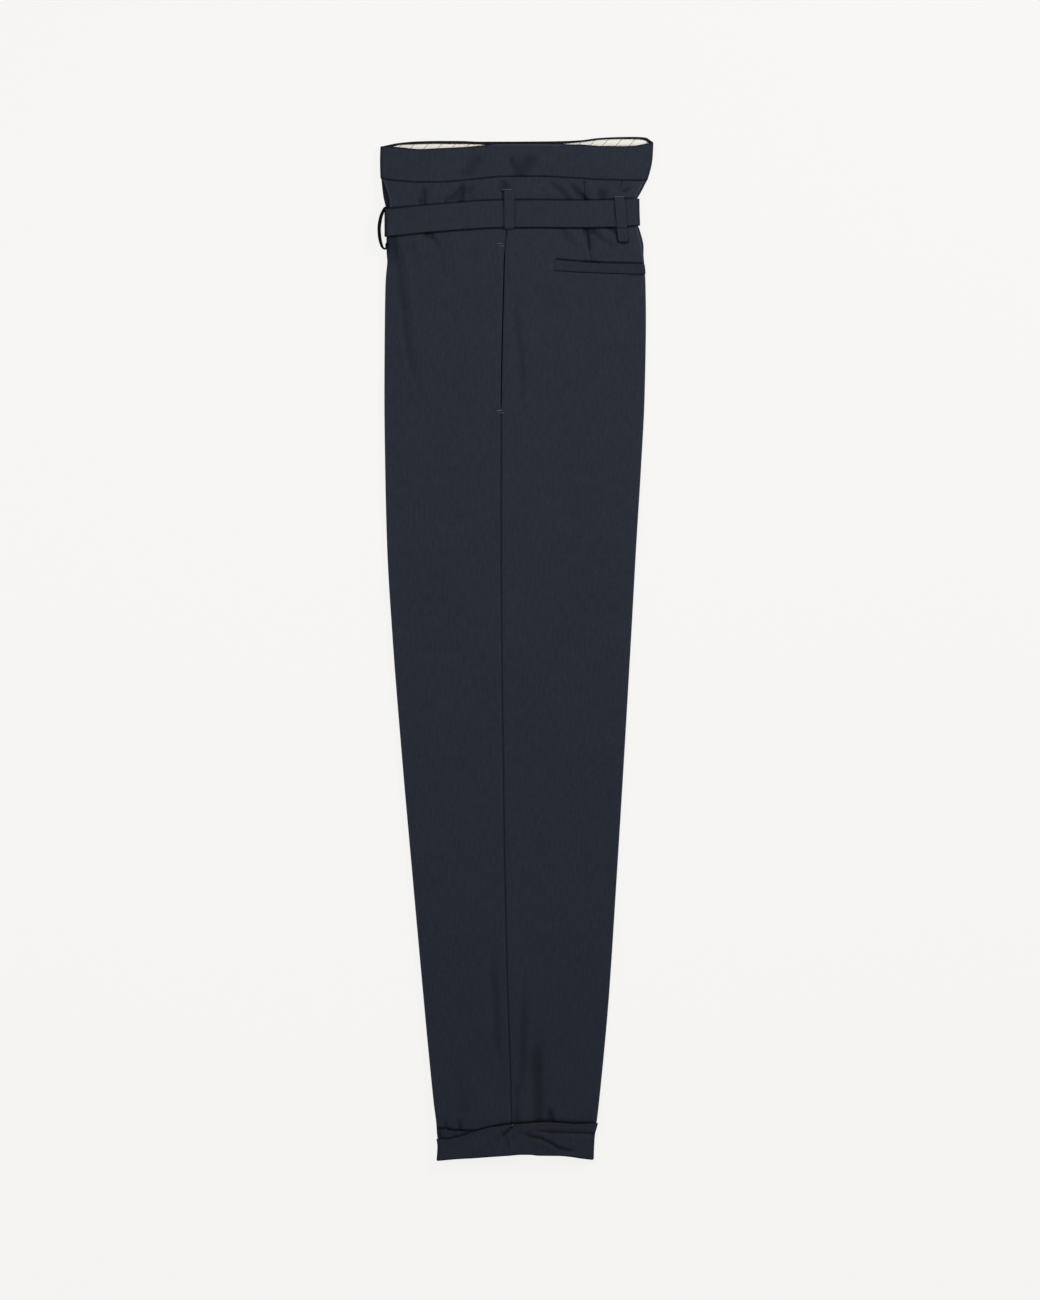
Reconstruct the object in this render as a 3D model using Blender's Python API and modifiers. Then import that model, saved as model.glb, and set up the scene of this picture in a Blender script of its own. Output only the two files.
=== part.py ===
"""Paperbag waist trousers, folded side to side and laid flat with the wearer's left side up.

The frame has the waist towards +Y, the wearer's back towards +X and the upper side towards +Z.
The garment rests on Z = 0. Tables and sizes are in millimetres, and build_sheet turns them into metres.

Every piece is placed by one function, point(). A place on the cloth is given by
  side   UPPER or LOWER, the wearer's left and right half
  face   FRONT or BACK, which fold the cloth runs to
  turn   0 at the side seam, 1 where the outer cloth reaches the fold, 2 past the fold, 3 at the inner edge
  level  how far along the garment it lies, before seams and hems pull it into their curves
  out    how far it stands off the panel, away from the cloth's inner face
"""
import math
from collections import namedtuple

import bmesh
import bpy
import numpy as np

MM = 0.001
UPPER, LOWER = 1, -1
FRONT, BACK = -1, 1

# Cloth and clearances
CLOTH = 1.0
LINING = 1.0
BELT_THICK = 1.6
BACK_EASE = 0.65
SEAM_GAP = 0.3
POCKET_GAPE = 1.4
ON_CLOTH = CLOTH + SEAM_GAP
ON_BELT = CLOTH / 2 + SEAM_GAP + BELT_THICK / 2
OVER_BELT = CLOTH / 2 + SEAM_GAP + BELT_THICK + SEAM_GAP + CLOTH / 2

# Levels that pieces are made between
RIM, BAND_SEAM = 534, 499
BELT_TOP, BELT_LOW = 470.8, 442.2
TUCK_START, TUCK_OPENS, TUCK_FULL, CROTCH = 436, 12, 386, 190
POCKET_TOP, POCKET_LOW = 424, 253
HEM = -535
LINING_DROP = 2.8
CUFF_FOLD = 1.3

# Cross sections, from the rim down. front and back are the two folded edges, side is the side seam, edge
# is how far apart the outermost layers lie at the folds, layer how far apart the inner ones lie, crown
# how much higher the middle stands, and lift how far the underside is held up by what lies beneath it.
Section = namedtuple("Section", "level front back side edge layer crown lift")
SECTIONS = (
    Section(-545, -84.3, 80.9, -4.0, 7.8, 4.4, 3.2, 1.4),
    Section(-520, -83.1, 81.7, -4.1, 7.8, 4.4, 3.3, 1.4),
    Section(-508, -84.1, 82.6, -4.3, 7.8, 4.4, 3.5, 1.4),
    Section(-498, -84.6, 85.3, -4.6, 7.8, 4.4, 3.6, 1.4),
    Section(-478, -87.4, 88.0, -5.2, 7.1, 3.7, 3.8, 1.1),
    Section(-430, -92.6, 93.2, -6.6, 5.6, 2.1, 4.2, 0.3),
    Section(-367, -98.5, 98.7, -8.8, 5.0, 1.35, 4.5, 0.0),
    Section(-240, -110.0, 107.0, -11.8, 5.0, 1.35, 4.8, 0.0),
    Section(-112, -121.3, 114.9, -13.8, 5.0, 1.35, 5.0, 0.0),
    Section(15, -131.3, 122.3, -15.2, 5.0, 1.35, 5.0, 0.0),
    Section(110, -136.9, 127.6, -15.9, 5.0, 1.35, 5.0, 0.0),
    Section(190, -138.9, 132.5, -15.9, 5.0, 1.35, 5.4, 0.0),
    Section(269, -139.8, 136.5, -15.7, 5.0, 1.35, 6.2, 0.0),
    Section(350, -139.3, 137.9, -14.0, 5.4, 1.35, 6.8, 0.2),
    Section(396, -138.4, 137.2, -12.8, 6.0, 1.35, 6.6, 1.4),
    Section(421, -137.5, 135.7, -12.0, 6.5, 1.35, 6.0, 2.0),
    Section(438.5, -137.6, 131.0, -10.2, 7.0, 1.35, 5.2, 3.2),
    Section(443.5, -137.6, 129.0, -9.8, 7.0, 1.35, 5.2, 3.2),
    Section(470.5, -137.7, 128.3, -8.5, 7.0, 1.35, 5.2, 3.2),
    Section(478, -139.4, 131.3, -8.1, 7.1, 1.35, 5.3, 2.9),
    Section(489, -141.8, 135.4, -7.3, 7.5, 1.35, 5.7, 1.9),
    Section(499, -143.3, 139.2, -6.4, 7.8, 1.35, 6.0, 0.8),
    Section(520, -144.5, 145.0, -4.4, 8.0, 1.35, 6.0, 0.2),
    Section(534, -144.1, 145.9, -3.0, 8.0, 1.35, 6.0, 0.0),
)

# Lines across the garment that aren't straight: how high the seam, the belt and the edges lie at each x.
TopLine = namedtuple("TopLine", "x near far seam belt")
TOP_LINES = (
    TopLine(-143, 533.5, 533.8, 499.4, 451.8),
    TopLine(-123, 532.3, 537.9, 496.8, 453.6),
    TopLine(-102, 530.2, 539.6, 495.4, 455.7),
    TopLine(-81, 531.1, 540.0, 495.3, 457.5),
    TopLine(-59, 532.0, 539.9, 496.9, 459.2),
    TopLine(-38, 533.8, 539.1, 498.9, 460.6),
    TopLine(-17, 535.3, 539.1, 500.9, 461.5),
    TopLine(25, 535.3, 539.3, 501.3, 461.7),
    TopLine(50, 535.2, 539.7, 500.2, 461.5),
    TopLine(68, 535.0, 540.6, 499.3, 461.5),
    TopLine(89, 533.5, 543.2, 498.0, 461.8),
    TopLine(110, 533.3, 544.2, 497.5, 462.6),
    TopLine(124, 533.8, 544.4, 497.3, 463.6),
    TopLine(137, 536.2, 543.8, 497.2, 464.5),
    TopLine(145, 537.4, 538.6, 497.2, 465.0),
)
HemLine = namedtuple("HemLine", "x cuff_top hem")
HEM_LINES = (
    HemLine(-84, -508.8, -542.0),
    HemLine(-60, -511.1, -539.8),
    HemLine(-46, -511.5, -539.0),
    HemLine(-27, -507.4, -537.6),
    HemLine(-8, -504.2, -536.3),
    HemLine(6, -503.2, -535.2),
    HemLine(15, -502.6, -535.3),
    HemLine(24, -501.9, -536.2),
    HemLine(46, -502.2, -536.5),
    HemLine(57, -503.0, -537.5),
    HemLine(68, -503.5, -539.2),
    HemLine(84, -503.2, -541.2),
)
STRAIGHT_BELOW = 380
HEM_PULL = -430

# Soft folds of the upper side: a trough or ridge runs from its head to its foot, bowed sideways.
Fold = namedtuple("Fold", "name head_x head foot_x foot bow width rise")
FOLDS = (
    Fold("front_pleat", -127, 430, -93, 246, 4, 11, -1.4),
    Fold("front_crease_roll", -112, 432, -80, 300, 5, 14, 0.9),
    Fold("pocket_trough", -2, 392, 8, 262, -4, 12, -1.3),
    Fold("seat_trough", 33, 396, 50, 330, 0, 13, -0.9),
    Fold("calf_trough", -27, -310, -16, -452, 0, 11, -0.9),
    Fold("calf_trough_back", 8, -335, 8, -410, -2, 11, -0.8),
    Fold("ankle_trough", 24, -440, 24, -496, 0, 8, -0.7),
    Fold("gather_front", -96, 496, -96, 476, 0, 8, -1.0),
    Fold("gather_side", -55, 496, -60, 476, 0, 10, -0.9),
    Fold("gather_back", 60, 496, 70, 476, 0, 8, -1.1),
    Fold("band_dip_front", -42, 534, -44, 500, 0, 12, -1.5),
    Fold("band_dip_side", 0, 534, 0, 500, 0, 14, -2.4),
    Fold("band_swell_front", -92, 534, -95, 500, 0, 34, 1.6),
    Fold("band_swell_back", 88, 534, 88, 500, 0, 36, 2.2),
)
FOLD_FADE = 0.22

# Belt loops: where each crosses the belt, and the levels its ends are sewn at.
Loop = namedtuple("Loop", "name side head_x head foot_x foot")
LOOPS = (
    Loop("belt_loop_side_left", UPPER, -8.2, 484.5, -8.2, 438.5),
    Loop("belt_loop_side_right", LOWER, -8.2, 484.5, -8.2, 438.5),
    Loop("belt_loop_back_left", UPPER, 109.2, 476.5, 113.4, 428.5),
    Loop("belt_loop_back_right", LOWER, 109.2, 476.5, 113.4, 428.5),
    Loop("belt_loop_front_right", LOWER, -104.0, 482.0, -104.0, 430.0),
)
LOOP_WIDE = 11.0
LOOP_EASE = 4.5
EDGE_LOOP_HEAD, EDGE_LOOP_FOOT = 476.0, 426.0
EDGE_LOOP_BOW = 7.2

# Pockets
FACING_WIDE = 18.0
WELT_START = 38.7
WELT_TOP, WELT_LOW = 408.5, 398.5
WELT_TURN = 1.55

# How finely each sheet is divided
PANEL_TURNS = {UPPER: (11, 4, 2), LOWER: (4, 4, 2)}
BELT_TURNS = (5, 4, 2)
CUFF_TURNS = (5, 4, 2)
ROW_LIMIT = 70

WOOL = ("wool_suiting", (0.0232, 0.0273, 0.0382, 1.0), 0.82)
CREAM = ("cream_lining", (0.79, 0.735, 0.66, 1.0), 0.6)


def smooth_column(table, key, name, at):
    """A column of a table at one or more places, on a smooth curve that never overshoots its rows."""
    keys = np.array([getattr(row, key) for row in table], float)
    values = np.array([getattr(row, name) for row in table], float)
    spans = np.diff(keys)
    slopes = np.diff(values) / spans
    inner = np.where(
        slopes[:-1] * slopes[1:] > 0,
        2 * slopes[:-1] * slopes[1:] / np.where(slopes[:-1] + slopes[1:] == 0, 1, slopes[:-1] + slopes[1:]),
        0.0,
    )
    tangents = np.concatenate([slopes[:1], inner, slopes[-1:]])
    at = np.clip(at, keys[0], keys[-1])
    row = np.clip(np.searchsorted(keys, at, side="right") - 1, 0, len(spans) - 1)
    t = (at - keys[row]) / spans[row]
    return (
        values[row] * (1 + 2 * t) * (1 - t) ** 2
        + values[row + 1] * t * t * (3 - 2 * t)
        + spans[row] * t * (1 - t) * (tangents[row] * (1 - t) - tangents[row + 1] * t)
    )


def section(name, level):
    return smooth_column(SECTIONS, "level", name, level)


def top_line(name, x):
    return smooth_column(TOP_LINES, "x", name, x)


def hem_line(name, x):
    return smooth_column(HEM_LINES, "x", name, x)


def ramp(start, end, at):
    """0 at start and before, 1 at end and past it, with a soft turn at both."""
    t = np.clip((at - start) / (end - start), 0.0, 1.0)
    return t * t * (3 - 2 * t)


def length_at(side, level, x):
    """Y of a place: its level, pulled into the curves of the rim, the waist seam, the belt and the hem."""
    rim = top_line("near" if side == UPPER else "far", x)
    seam = top_line("seam", x)
    belt_pull = top_line("belt", x) - (BELT_TOP + BELT_LOW) / 2
    rungs = (STRAIGHT_BELOW, BELT_LOW, BELT_TOP, BAND_SEAM, RIM)
    pulls = (0.0 * x, belt_pull, belt_pull, seam - BAND_SEAM, rim - RIM)
    pull = pulls[0]
    for low, high, below, above in zip(rungs, rungs[1:], pulls, pulls[1:]):
        pull = pull + (above - below) * np.clip((level - low) / (high - low), 0.0, 1.0)
    hem_pull = hem_line("hem", x) - HEM
    return level + pull + hem_pull * ramp(HEM_PULL, HEM, level)


def fold_heights(x, level):
    """How far the soft folds raise or sink the upper side."""
    total = 0.0 * x
    for fold in FOLDS:
        along = (fold.head - level) / (fold.head - fold.foot)
        middle = fold.head_x + (fold.foot_x - fold.head_x) * along
        middle = middle + fold.bow * np.sin(math.pi * np.clip(along, 0.0, 1.0))
        across = np.exp(-(((x - middle) / fold.width) ** 2))
        if fold.head >= RIM:
            ends = ramp(1.1, 0.3, along)
        else:
            ends = ramp(0.0, FOLD_FADE, along) * ramp(1.0, 1.0 - FOLD_FADE, along)
        total = total + fold.rise * across * ends
    return total


def swell(x, level):
    """1 along the middle of the garment, falling to 0 at its two folded edges."""
    front, back = section("front", level), section("back", level)
    share = (2 * x - front - back) / (back - front)
    return 1 - np.clip(np.abs(share), 0.0, 1.0) ** 2.3


def outer_height(side, x, level):
    base = section("lift", level) + CLOTH / 2
    if side == LOWER:
        return base + 0.0 * x
    crown = section("edge", level) + section("crown", level) * swell(x, level)
    return base + crown + fold_heights(x, level)


def middle_height(x, level):
    """Between the two halves of the garment, where their inner layers face each other."""
    base = section("lift", level) + CLOTH / 2
    return base + section("edge", level) / 2 + 0.4 * section("crown", level) * swell(x, level)


def inner_height(side, x, level):
    return middle_height(x, level) + side * section("layer", level) / 2


def seam_gape(level):
    """How far apart the two panels lie at the side seam: the pocket mouth is a slit left in it."""
    mouth = ramp(POCKET_LOW, POCKET_LOW + 12, level) * ramp(POCKET_TOP, POCKET_TOP - 12, level)
    return SEAM_GAP + (POCKET_GAPE - SEAM_GAP) * mouth


def point(side, face, turn, level, out=0.0):
    """X, Y and Z of a place on the garment, in millimetres."""
    turn, level, out = np.broadcast_arrays(*(np.asarray(v, float) for v in (turn, level, out)))
    edge_x = section("front" if face == FRONT else "back", level) - face * CLOTH / 2
    side_x = section("side", level)
    start_x = side_x + face * seam_gape(level) / 2
    outer_share = np.clip(turn, 0.0, 1.0)

    # Below the waist the cloth turns right round the fold and runs back in, as far as the rise or inseam.
    height = section("edge", level) / 2
    bend = (2 * height - section("layer", level)) / 4
    bend_x = edge_x - face * bend
    tuck = np.clip((TUCK_START - level) / (TUCK_START - CROTCH), 0.0, 1.0) ** 1.5
    end_x = bend_x + (side_x + face * SEAM_GAP / 2 - bend_x) * tuck
    high, low = outer_height(side, bend_x, level), inner_height(side, bend_x, level)
    angle = math.pi * np.clip(turn - 1, 0.0, 1.0)
    flat_x = np.where(turn <= 1, start_x + (bend_x - start_x) * outer_share, 0.0)
    back_x = bend_x + (end_x - bend_x) * np.clip(turn - 2, 0.0, 1.0)
    round_x = bend_x + face * (bend + out) * np.sin(angle)
    tucked_x = np.where(turn <= 1, flat_x, np.where(turn < 2, round_x, back_x))
    round_z = (high + low) / 2 + ((high - low) / 2 + side * out) * np.cos(angle)
    tucked_z = np.where(turn <= 1, outer_height(side, tucked_x, level) + side * out, round_z)
    tucked_z = np.where(turn >= 2, inner_height(side, tucked_x, level) - side * out, tucked_z)

    # At the waist it turns only halfway, and meets the other half of the garment on the fold.
    turn_x = edge_x - face * height
    quarter = math.pi / 4 * np.clip(turn - 1, 0.0, 2.0)
    parted = SEAM_GAP + (section("layer", level) - SEAM_GAP) * ramp(TUCK_START, TUCK_START - TUCK_OPENS, level)
    meet = section("lift", level) + CLOTH / 2 + height + side * parted / 2
    rise = outer_height(side, turn_x, level) - meet
    plain_x = np.where(
        turn <= 1,
        start_x + (turn_x - start_x) * outer_share,
        turn_x + face * (height + out) * np.sin(quarter),
    )
    plain_z = np.where(
        turn <= 1,
        outer_height(side, plain_x, level) + side * out,
        meet + (rise + side * out) * np.cos(quarter),
    )

    folded = ramp(TUCK_START - TUCK_OPENS / 2, TUCK_FULL, level)
    x = plain_x + (tucked_x - plain_x) * folded
    z = plain_z + (tucked_z - plain_z) * folded
    return np.stack([x, length_at(side, level, x), z], axis=-1)


def on_side(side, x, level, out):
    """A place straight above or below the panel, by its x."""
    z = outer_height(side, x, level) + side * out
    return np.stack([x, length_at(side, level, x), z], axis=-1)


def turns(outer, fold, inner):
    """The turn values of a panel's columns, closer together in the fold."""
    return np.concatenate([
        np.linspace(0, 1, outer + 1),
        np.linspace(1, 2, fold + 1)[1:],
        np.linspace(2, 3, inner + 1)[1:],
    ])


def levels(low, high):
    """The levels of a panel's rows: one at each section, and one halfway along a long stretch."""
    rows = [row.level for row in SECTIONS if low < row.level < high]
    found = [low]
    for level in rows + [high]:
        if level - found[-1] > ROW_LIMIT:
            found.append((found[-1] + level) / 2)
        found.append(level)
    return np.array(found)


def material(name, colour, roughness):
    """One finish of the garment as a Principled material."""
    made = bpy.data.materials.new(name)
    made.use_nodes = True
    shader = made.node_tree.nodes["Principled BSDF"]
    shader.inputs["Base Color"].default_value = colour
    shader.inputs["Roughness"].default_value = roughness
    shader.inputs["Metallic"].default_value = 0.0
    return made


def build_sheet(name, places, thick, finish, ring=False):
    """A wall of cloth through a grid of places (rows, columns, xyz), closed on itself where ring is set."""
    rows, columns = places.shape[0] - 1, places.shape[1] - 1
    grid = bmesh.new()
    bmesh.ops.create_grid(grid, x_segments=columns, y_segments=rows, size=1.0)
    for vertex in grid.verts:
        column = round((vertex.co.x + 1) / 2 * columns)
        row = round((vertex.co.y + 1) / 2 * rows)
        vertex.co = places[row, column] * MM
    if ring:
        bmesh.ops.remove_doubles(grid, verts=grid.verts, dist=1e-7)
    bmesh.ops.recalc_face_normals(grid, faces=grid.faces)
    mesh = bpy.data.meshes.new(name)
    grid.to_mesh(mesh)
    grid.free()
    mesh.materials.append(material(f"{name}_{finish[0]}", finish[1], finish[2]))
    mesh.shade_smooth()
    made = bpy.data.objects.new(name, mesh)
    garment.objects.link(made)
    wall = made.modifiers.new("cloth", "SOLIDIFY")
    wall.thickness = thick * MM
    wall.offset = 0.0
    return made


def panel(name, side, face):
    turn = turns(*PANEL_TURNS[side])
    rows = levels(HEM + CUFF_FOLD, BAND_SEAM - SEAM_GAP / 2)
    build_sheet(name, point(side, face, turn[None, :], rows[:, None]), CLOTH, WOOL)


def half_ring(side, rows, out, columns):
    """Places over one half of the waist, from the front fold to the back fold."""
    turn = turns(*columns)
    front = point(side, FRONT, turn[None, ::-1], rows[:, None], out)
    back = point(side, BACK, turn[None, 1:], rows[:, None], out)
    return np.concatenate([front, back], axis=1)


def waistband(name, side):
    rows = np.array([BAND_SEAM + SEAM_GAP / 2, (BAND_SEAM + RIM) / 2, RIM])
    build_sheet(name, half_ring(side, rows, 0.0, PANEL_TURNS[side]), CLOTH, WOOL)


def waistband_lining(name, side):
    rows = np.array([BAND_SEAM + LINING_DROP, (BAND_SEAM + RIM) / 2, RIM - LINING_DROP])
    out = -(CLOTH / 2 + SEAM_GAP + LINING / 2)
    build_sheet(name, half_ring(side, rows, out, PANEL_TURNS[side]), LINING, CREAM)


def belt():
    rows = np.array([BELT_LOW, (BELT_LOW + BELT_TOP) / 2, BELT_TOP])
    upper = half_ring(UPPER, rows, ON_BELT, BELT_TURNS)
    lower = half_ring(LOWER, rows, ON_BELT, BELT_TURNS)[:, ::-1]
    tips = (upper[:, :1] + lower[:, -1:]) / 2, (upper[:, -1:] + lower[:, :1]) / 2
    ring = np.concatenate([tips[0], upper[:, 1:-1], tips[1], lower[:, 1:-1], tips[0]], axis=1)
    ring[:, :, 0] += BACK_EASE * ramp(120, 128, ring[:, :, 0])
    build_sheet("belt", ring, BELT_THICK, WOOL, ring=True)


def belt_loop(loop):
    """A strip sewn down above the belt, over it, and sewn down again below it."""
    down = np.concatenate([
        [loop.head, loop.head - 2],
        np.linspace(BELT_TOP + LOOP_EASE, BELT_TOP + 0.6, 3),
        [(BELT_TOP + BELT_LOW) / 2],
        np.linspace(BELT_LOW - 0.6, max(BELT_LOW - LOOP_EASE, loop.foot), 3),
        [loop.foot] if loop.foot < BELT_LOW - LOOP_EASE else [],
    ])
    down = np.unique(down[down <= loop.head])
    share = (loop.head - down) / (loop.head - loop.foot)
    middle = loop.head_x + (loop.foot_x - loop.head_x) * share
    over = ramp(BELT_TOP + LOOP_EASE, BELT_TOP + 0.6, down) * ramp(BELT_LOW - LOOP_EASE, BELT_LOW - 0.6, down)
    out = ON_CLOTH + (OVER_BELT - ON_CLOTH) * over
    across = np.array([-LOOP_WIDE / 2, LOOP_WIDE / 2])
    x = middle[:, None] + across[None, :]
    places = on_side(loop.side, x, down[:, None] + 0 * x, out[:, None])
    build_sheet(loop.name, places, CLOTH, WOOL)


def edge_loop():
    """The front loop, which stands off the folded edge and shows its side."""
    share = (1 - np.cos(np.linspace(0, math.pi, 11))) / 2
    down = EDGE_LOOP_FOOT + (EDGE_LOOP_HEAD - EDGE_LOOP_FOOT) * share
    x = section("front", down) - SEAM_GAP - CLOTH / 2 - EDGE_LOOP_BOW * np.sin(math.pi * share) ** 0.6
    middle = section("lift", down) + CLOTH / 2 + section("edge", down) / 2
    across = np.array([-LOOP_WIDE / 2, LOOP_WIDE / 2])
    places = np.stack(np.broadcast_arrays(
        x[:, None],
        length_at(UPPER, down, section("front", down))[:, None],
        middle[:, None] + across[None, :],
    ), axis=-1)
    build_sheet("belt_loop_front_left", places, CLOTH, WOOL)


def pocket_facing(name, side):
    """The strip behind a side pocket's mouth."""
    rows = np.linspace(POCKET_LOW - 2, POCKET_TOP + 2, 7)
    across = np.array([-FACING_WIDE / 2, FACING_WIDE / 2])
    x = section("side", rows)[:, None] + across[None, :]
    build_sheet(name, on_side(side, x, rows[:, None] + 0 * x, -ON_CLOTH - 0.1), CLOTH, WOOL)


def back_welt(name, side):
    """The strip that edges a back pocket, running to the fold and just round it."""
    rows = np.linspace(WELT_LOW, WELT_TOP, 3)
    reach = section("back", rows) - section("side", rows)
    start = (WELT_START - section("side", rows)) / reach
    share = np.concatenate([np.linspace(0, 1, 7), np.linspace(1, WELT_TURN, 4)[1:]])
    turn = np.where(share <= 1, start[:, None] + (1 - start[:, None]) * share, share)
    build_sheet(name, point(side, BACK, turn, rows[:, None], ON_CLOTH), CLOTH, WOOL)


def cuff(name, side):
    """A turn-up: a ring round the leg whose lower edge rolls in under the leg's hem."""
    turn = turns(*CUFF_TURNS)
    around = [(FRONT, t) for t in turn] + [(BACK, t) for t in turn[-2::-1]] + [(FRONT, 0.0)]
    steps = [(0.0, 1.0), (0.5, 1.0), (1.0, 1.0)]
    places = []
    for share, out_share in steps:
        row = [cuff_point(side, face, t, share, out_share) for face, t in around]
        places.append(row)
    for angle in (math.pi / 4, math.pi / 2):
        row = [cuff_point(side, face, t, 1.0, math.cos(angle), math.sin(angle)) for face, t in around]
        places.append(row)
    build_sheet(name, np.array(places), CLOTH, WOOL, ring=True)


def cuff_point(side, face, turn, share, out_share, under=0.0):
    """share runs from the top of the turn-up to just above its roll, and under from there round the roll."""
    low = HEM + CUFF_FOLD
    flat = point(side, face, turn, low, ON_CLOTH * out_share)
    top_y = hem_line("cuff_top", flat[0])
    level = low + (top_y - flat[1]) * (1 - share)
    placed = point(side, face, turn, level, ON_CLOTH * out_share)
    placed[1] = flat[1] + (top_y - flat[1]) * (1 - share) - CUFF_FOLD * under
    return placed


def clear_scene():
    for found in list(bpy.data.objects):
        bpy.data.objects.remove(found, do_unlink=True)


clear_scene()
garment = bpy.data.collections.new("paperbag_waist_trousers")
bpy.context.scene.collection.children.link(garment)

panel("front_left", UPPER, FRONT)
panel("back_left", UPPER, BACK)
panel("front_right", LOWER, FRONT)
panel("back_right", LOWER, BACK)
for half, half_name in ((UPPER, "left"), (LOWER, "right")):
    waistband(f"waistband_{half_name}", half)
    waistband_lining(f"waistband_lining_{half_name}", half)
    pocket_facing(f"pocket_facing_{half_name}", half)
    back_welt(f"back_welt_{half_name}", half)
    cuff(f"cuff_{half_name}", half)
belt()
for one in LOOPS:
    belt_loop(one)
edge_loop()
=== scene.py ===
import math
from collections import namedtuple
from functools import partial

import bmesh
import bpy
import numpy as np
from mathutils import Matrix, Vector


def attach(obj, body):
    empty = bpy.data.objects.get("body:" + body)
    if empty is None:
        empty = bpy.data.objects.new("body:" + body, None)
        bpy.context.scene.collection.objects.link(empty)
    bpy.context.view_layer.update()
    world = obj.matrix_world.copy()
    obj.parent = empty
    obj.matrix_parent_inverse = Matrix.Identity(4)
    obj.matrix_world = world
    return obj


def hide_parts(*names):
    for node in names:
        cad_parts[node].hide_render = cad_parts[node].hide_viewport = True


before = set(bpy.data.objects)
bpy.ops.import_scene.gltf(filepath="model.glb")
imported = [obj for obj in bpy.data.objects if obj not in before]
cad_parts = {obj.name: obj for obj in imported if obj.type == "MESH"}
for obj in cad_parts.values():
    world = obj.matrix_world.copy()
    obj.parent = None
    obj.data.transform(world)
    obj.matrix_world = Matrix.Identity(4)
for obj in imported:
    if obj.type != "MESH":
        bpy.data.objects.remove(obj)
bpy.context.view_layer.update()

MM = 0.001
UPPER, LOWER = 1, -1
FRONT, BACK = -1, 1

# ---- The cut: the same levels, sections and lines that the solids are made from ----
CLOTH, LINING, BELT_THICK = 0.9, 0.6, 1.6
SEAM_GAP = 0.3
POCKET_GAPE = 1.5
# How far the inner layers' slots, and the lower side's seam above the belt, stand aside from the upper side's
# seam, so that nothing shines straight through
SLOT_STAGGER = 0.7
# The middles of the layers that lie on a panel, on the belt's line and over the belt stand this far off it
ON_CLOTH, ON_BELT, OVER_BELT = 1.25, 1.65, 3.1
# The belt runs this much further out round the back fold
BACK_EASE = 0.65

# Levels up the garment
RIM, BAND_SEAM = 534, 499
BELT_TOP, BELT_LOW = 470.8, 442.2
BELT_WIDE = BELT_TOP - BELT_LOW
TUCK_START, TUCK_OPENS, TUCK_FULL, CROTCH = 436, 12, 386, 190
POCKET_TOP, POCKET_LOW, POCKET_CLOSES = 424, 253, 12
STRAIGHT_BELOW = 380
HEM, HEM_PULL = -535, -430
CUFF_FOLD = 1.3
LINING_DROP = 2.9

Section = namedtuple("Section", "level front back side edge layer crown lift")
SECTIONS = (
    Section(-545, -84.3, 80.9, -4.0, 7.8, 4.4, 3.2, 1.4),
    Section(-520, -82.2, 81.7, -4.1, 7.8, 4.4, 3.3, 1.4),
    Section(-508, -83.9, 82.6, -4.3, 7.8, 4.4, 3.5, 1.4),
    Section(-498, -84.6, 85.3, -4.6, 7.8, 4.4, 3.6, 1.4),
    Section(-478, -87.4, 88.0, -5.2, 7.1, 3.7, 3.8, 1.1),
    Section(-430, -92.6, 93.2, -6.6, 5.6, 2.1, 4.2, 0.3),
    Section(-367, -98.5, 98.7, -8.8, 5.0, 1.35, 4.5, 0.0),
    Section(-240, -110.0, 107.0, -11.8, 5.0, 1.35, 4.8, 0.0),
    Section(-112, -121.3, 114.9, -13.8, 5.0, 1.35, 5.0, 0.0),
    Section(15, -131.3, 122.3, -15.2, 5.0, 1.35, 5.0, 0.0),
    Section(110, -136.9, 127.6, -15.9, 5.0, 1.35, 5.0, 0.0),
    Section(190, -138.9, 132.5, -15.9, 5.0, 1.35, 5.4, 0.0),
    Section(269, -139.8, 136.5, -15.7, 5.0, 1.35, 6.2, 0.0),
    Section(350, -139.3, 137.9, -14.0, 5.4, 1.35, 6.8, 0.2),
    Section(396, -138.4, 137.2, -12.8, 6.0, 1.35, 6.6, 1.4),
    Section(421, -137.5, 135.7, -12.0, 6.5, 1.35, 6.0, 2.0),
    Section(438.5, -137.6, 131.0, -10.2, 7.0, 1.35, 5.2, 3.2),
    Section(443.5, -137.6, 129.0, -9.8, 7.0, 1.35, 5.2, 3.2),
    Section(470.5, -137.7, 128.3, -8.5, 7.0, 1.35, 5.2, 3.2),
    Section(474.5, -138.6, 129.9, -8.3, 7.0, 1.35, 5.2, 3.2),
    Section(483, -140.8, 133.3, -7.7, 7.3, 1.35, 5.5, 2.6),
    Section(491, -142.0, 136.0, -7.1, 7.6, 1.35, 5.8, 1.7),
    Section(498.3, -143.0, 138.5, -6.5, 7.8, 1.35, 6.0, 0.8),
    Section(501, -144.1, 140.0, -6.2, 7.8, 1.35, 6.0, 0.7),
    Section(520, -144.5, 145.0, -4.4, 8.0, 1.35, 6.0, 0.2),
    Section(534, -144.1, 145.9, -3.0, 8.0, 1.35, 6.0, 0.0),
)

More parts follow.
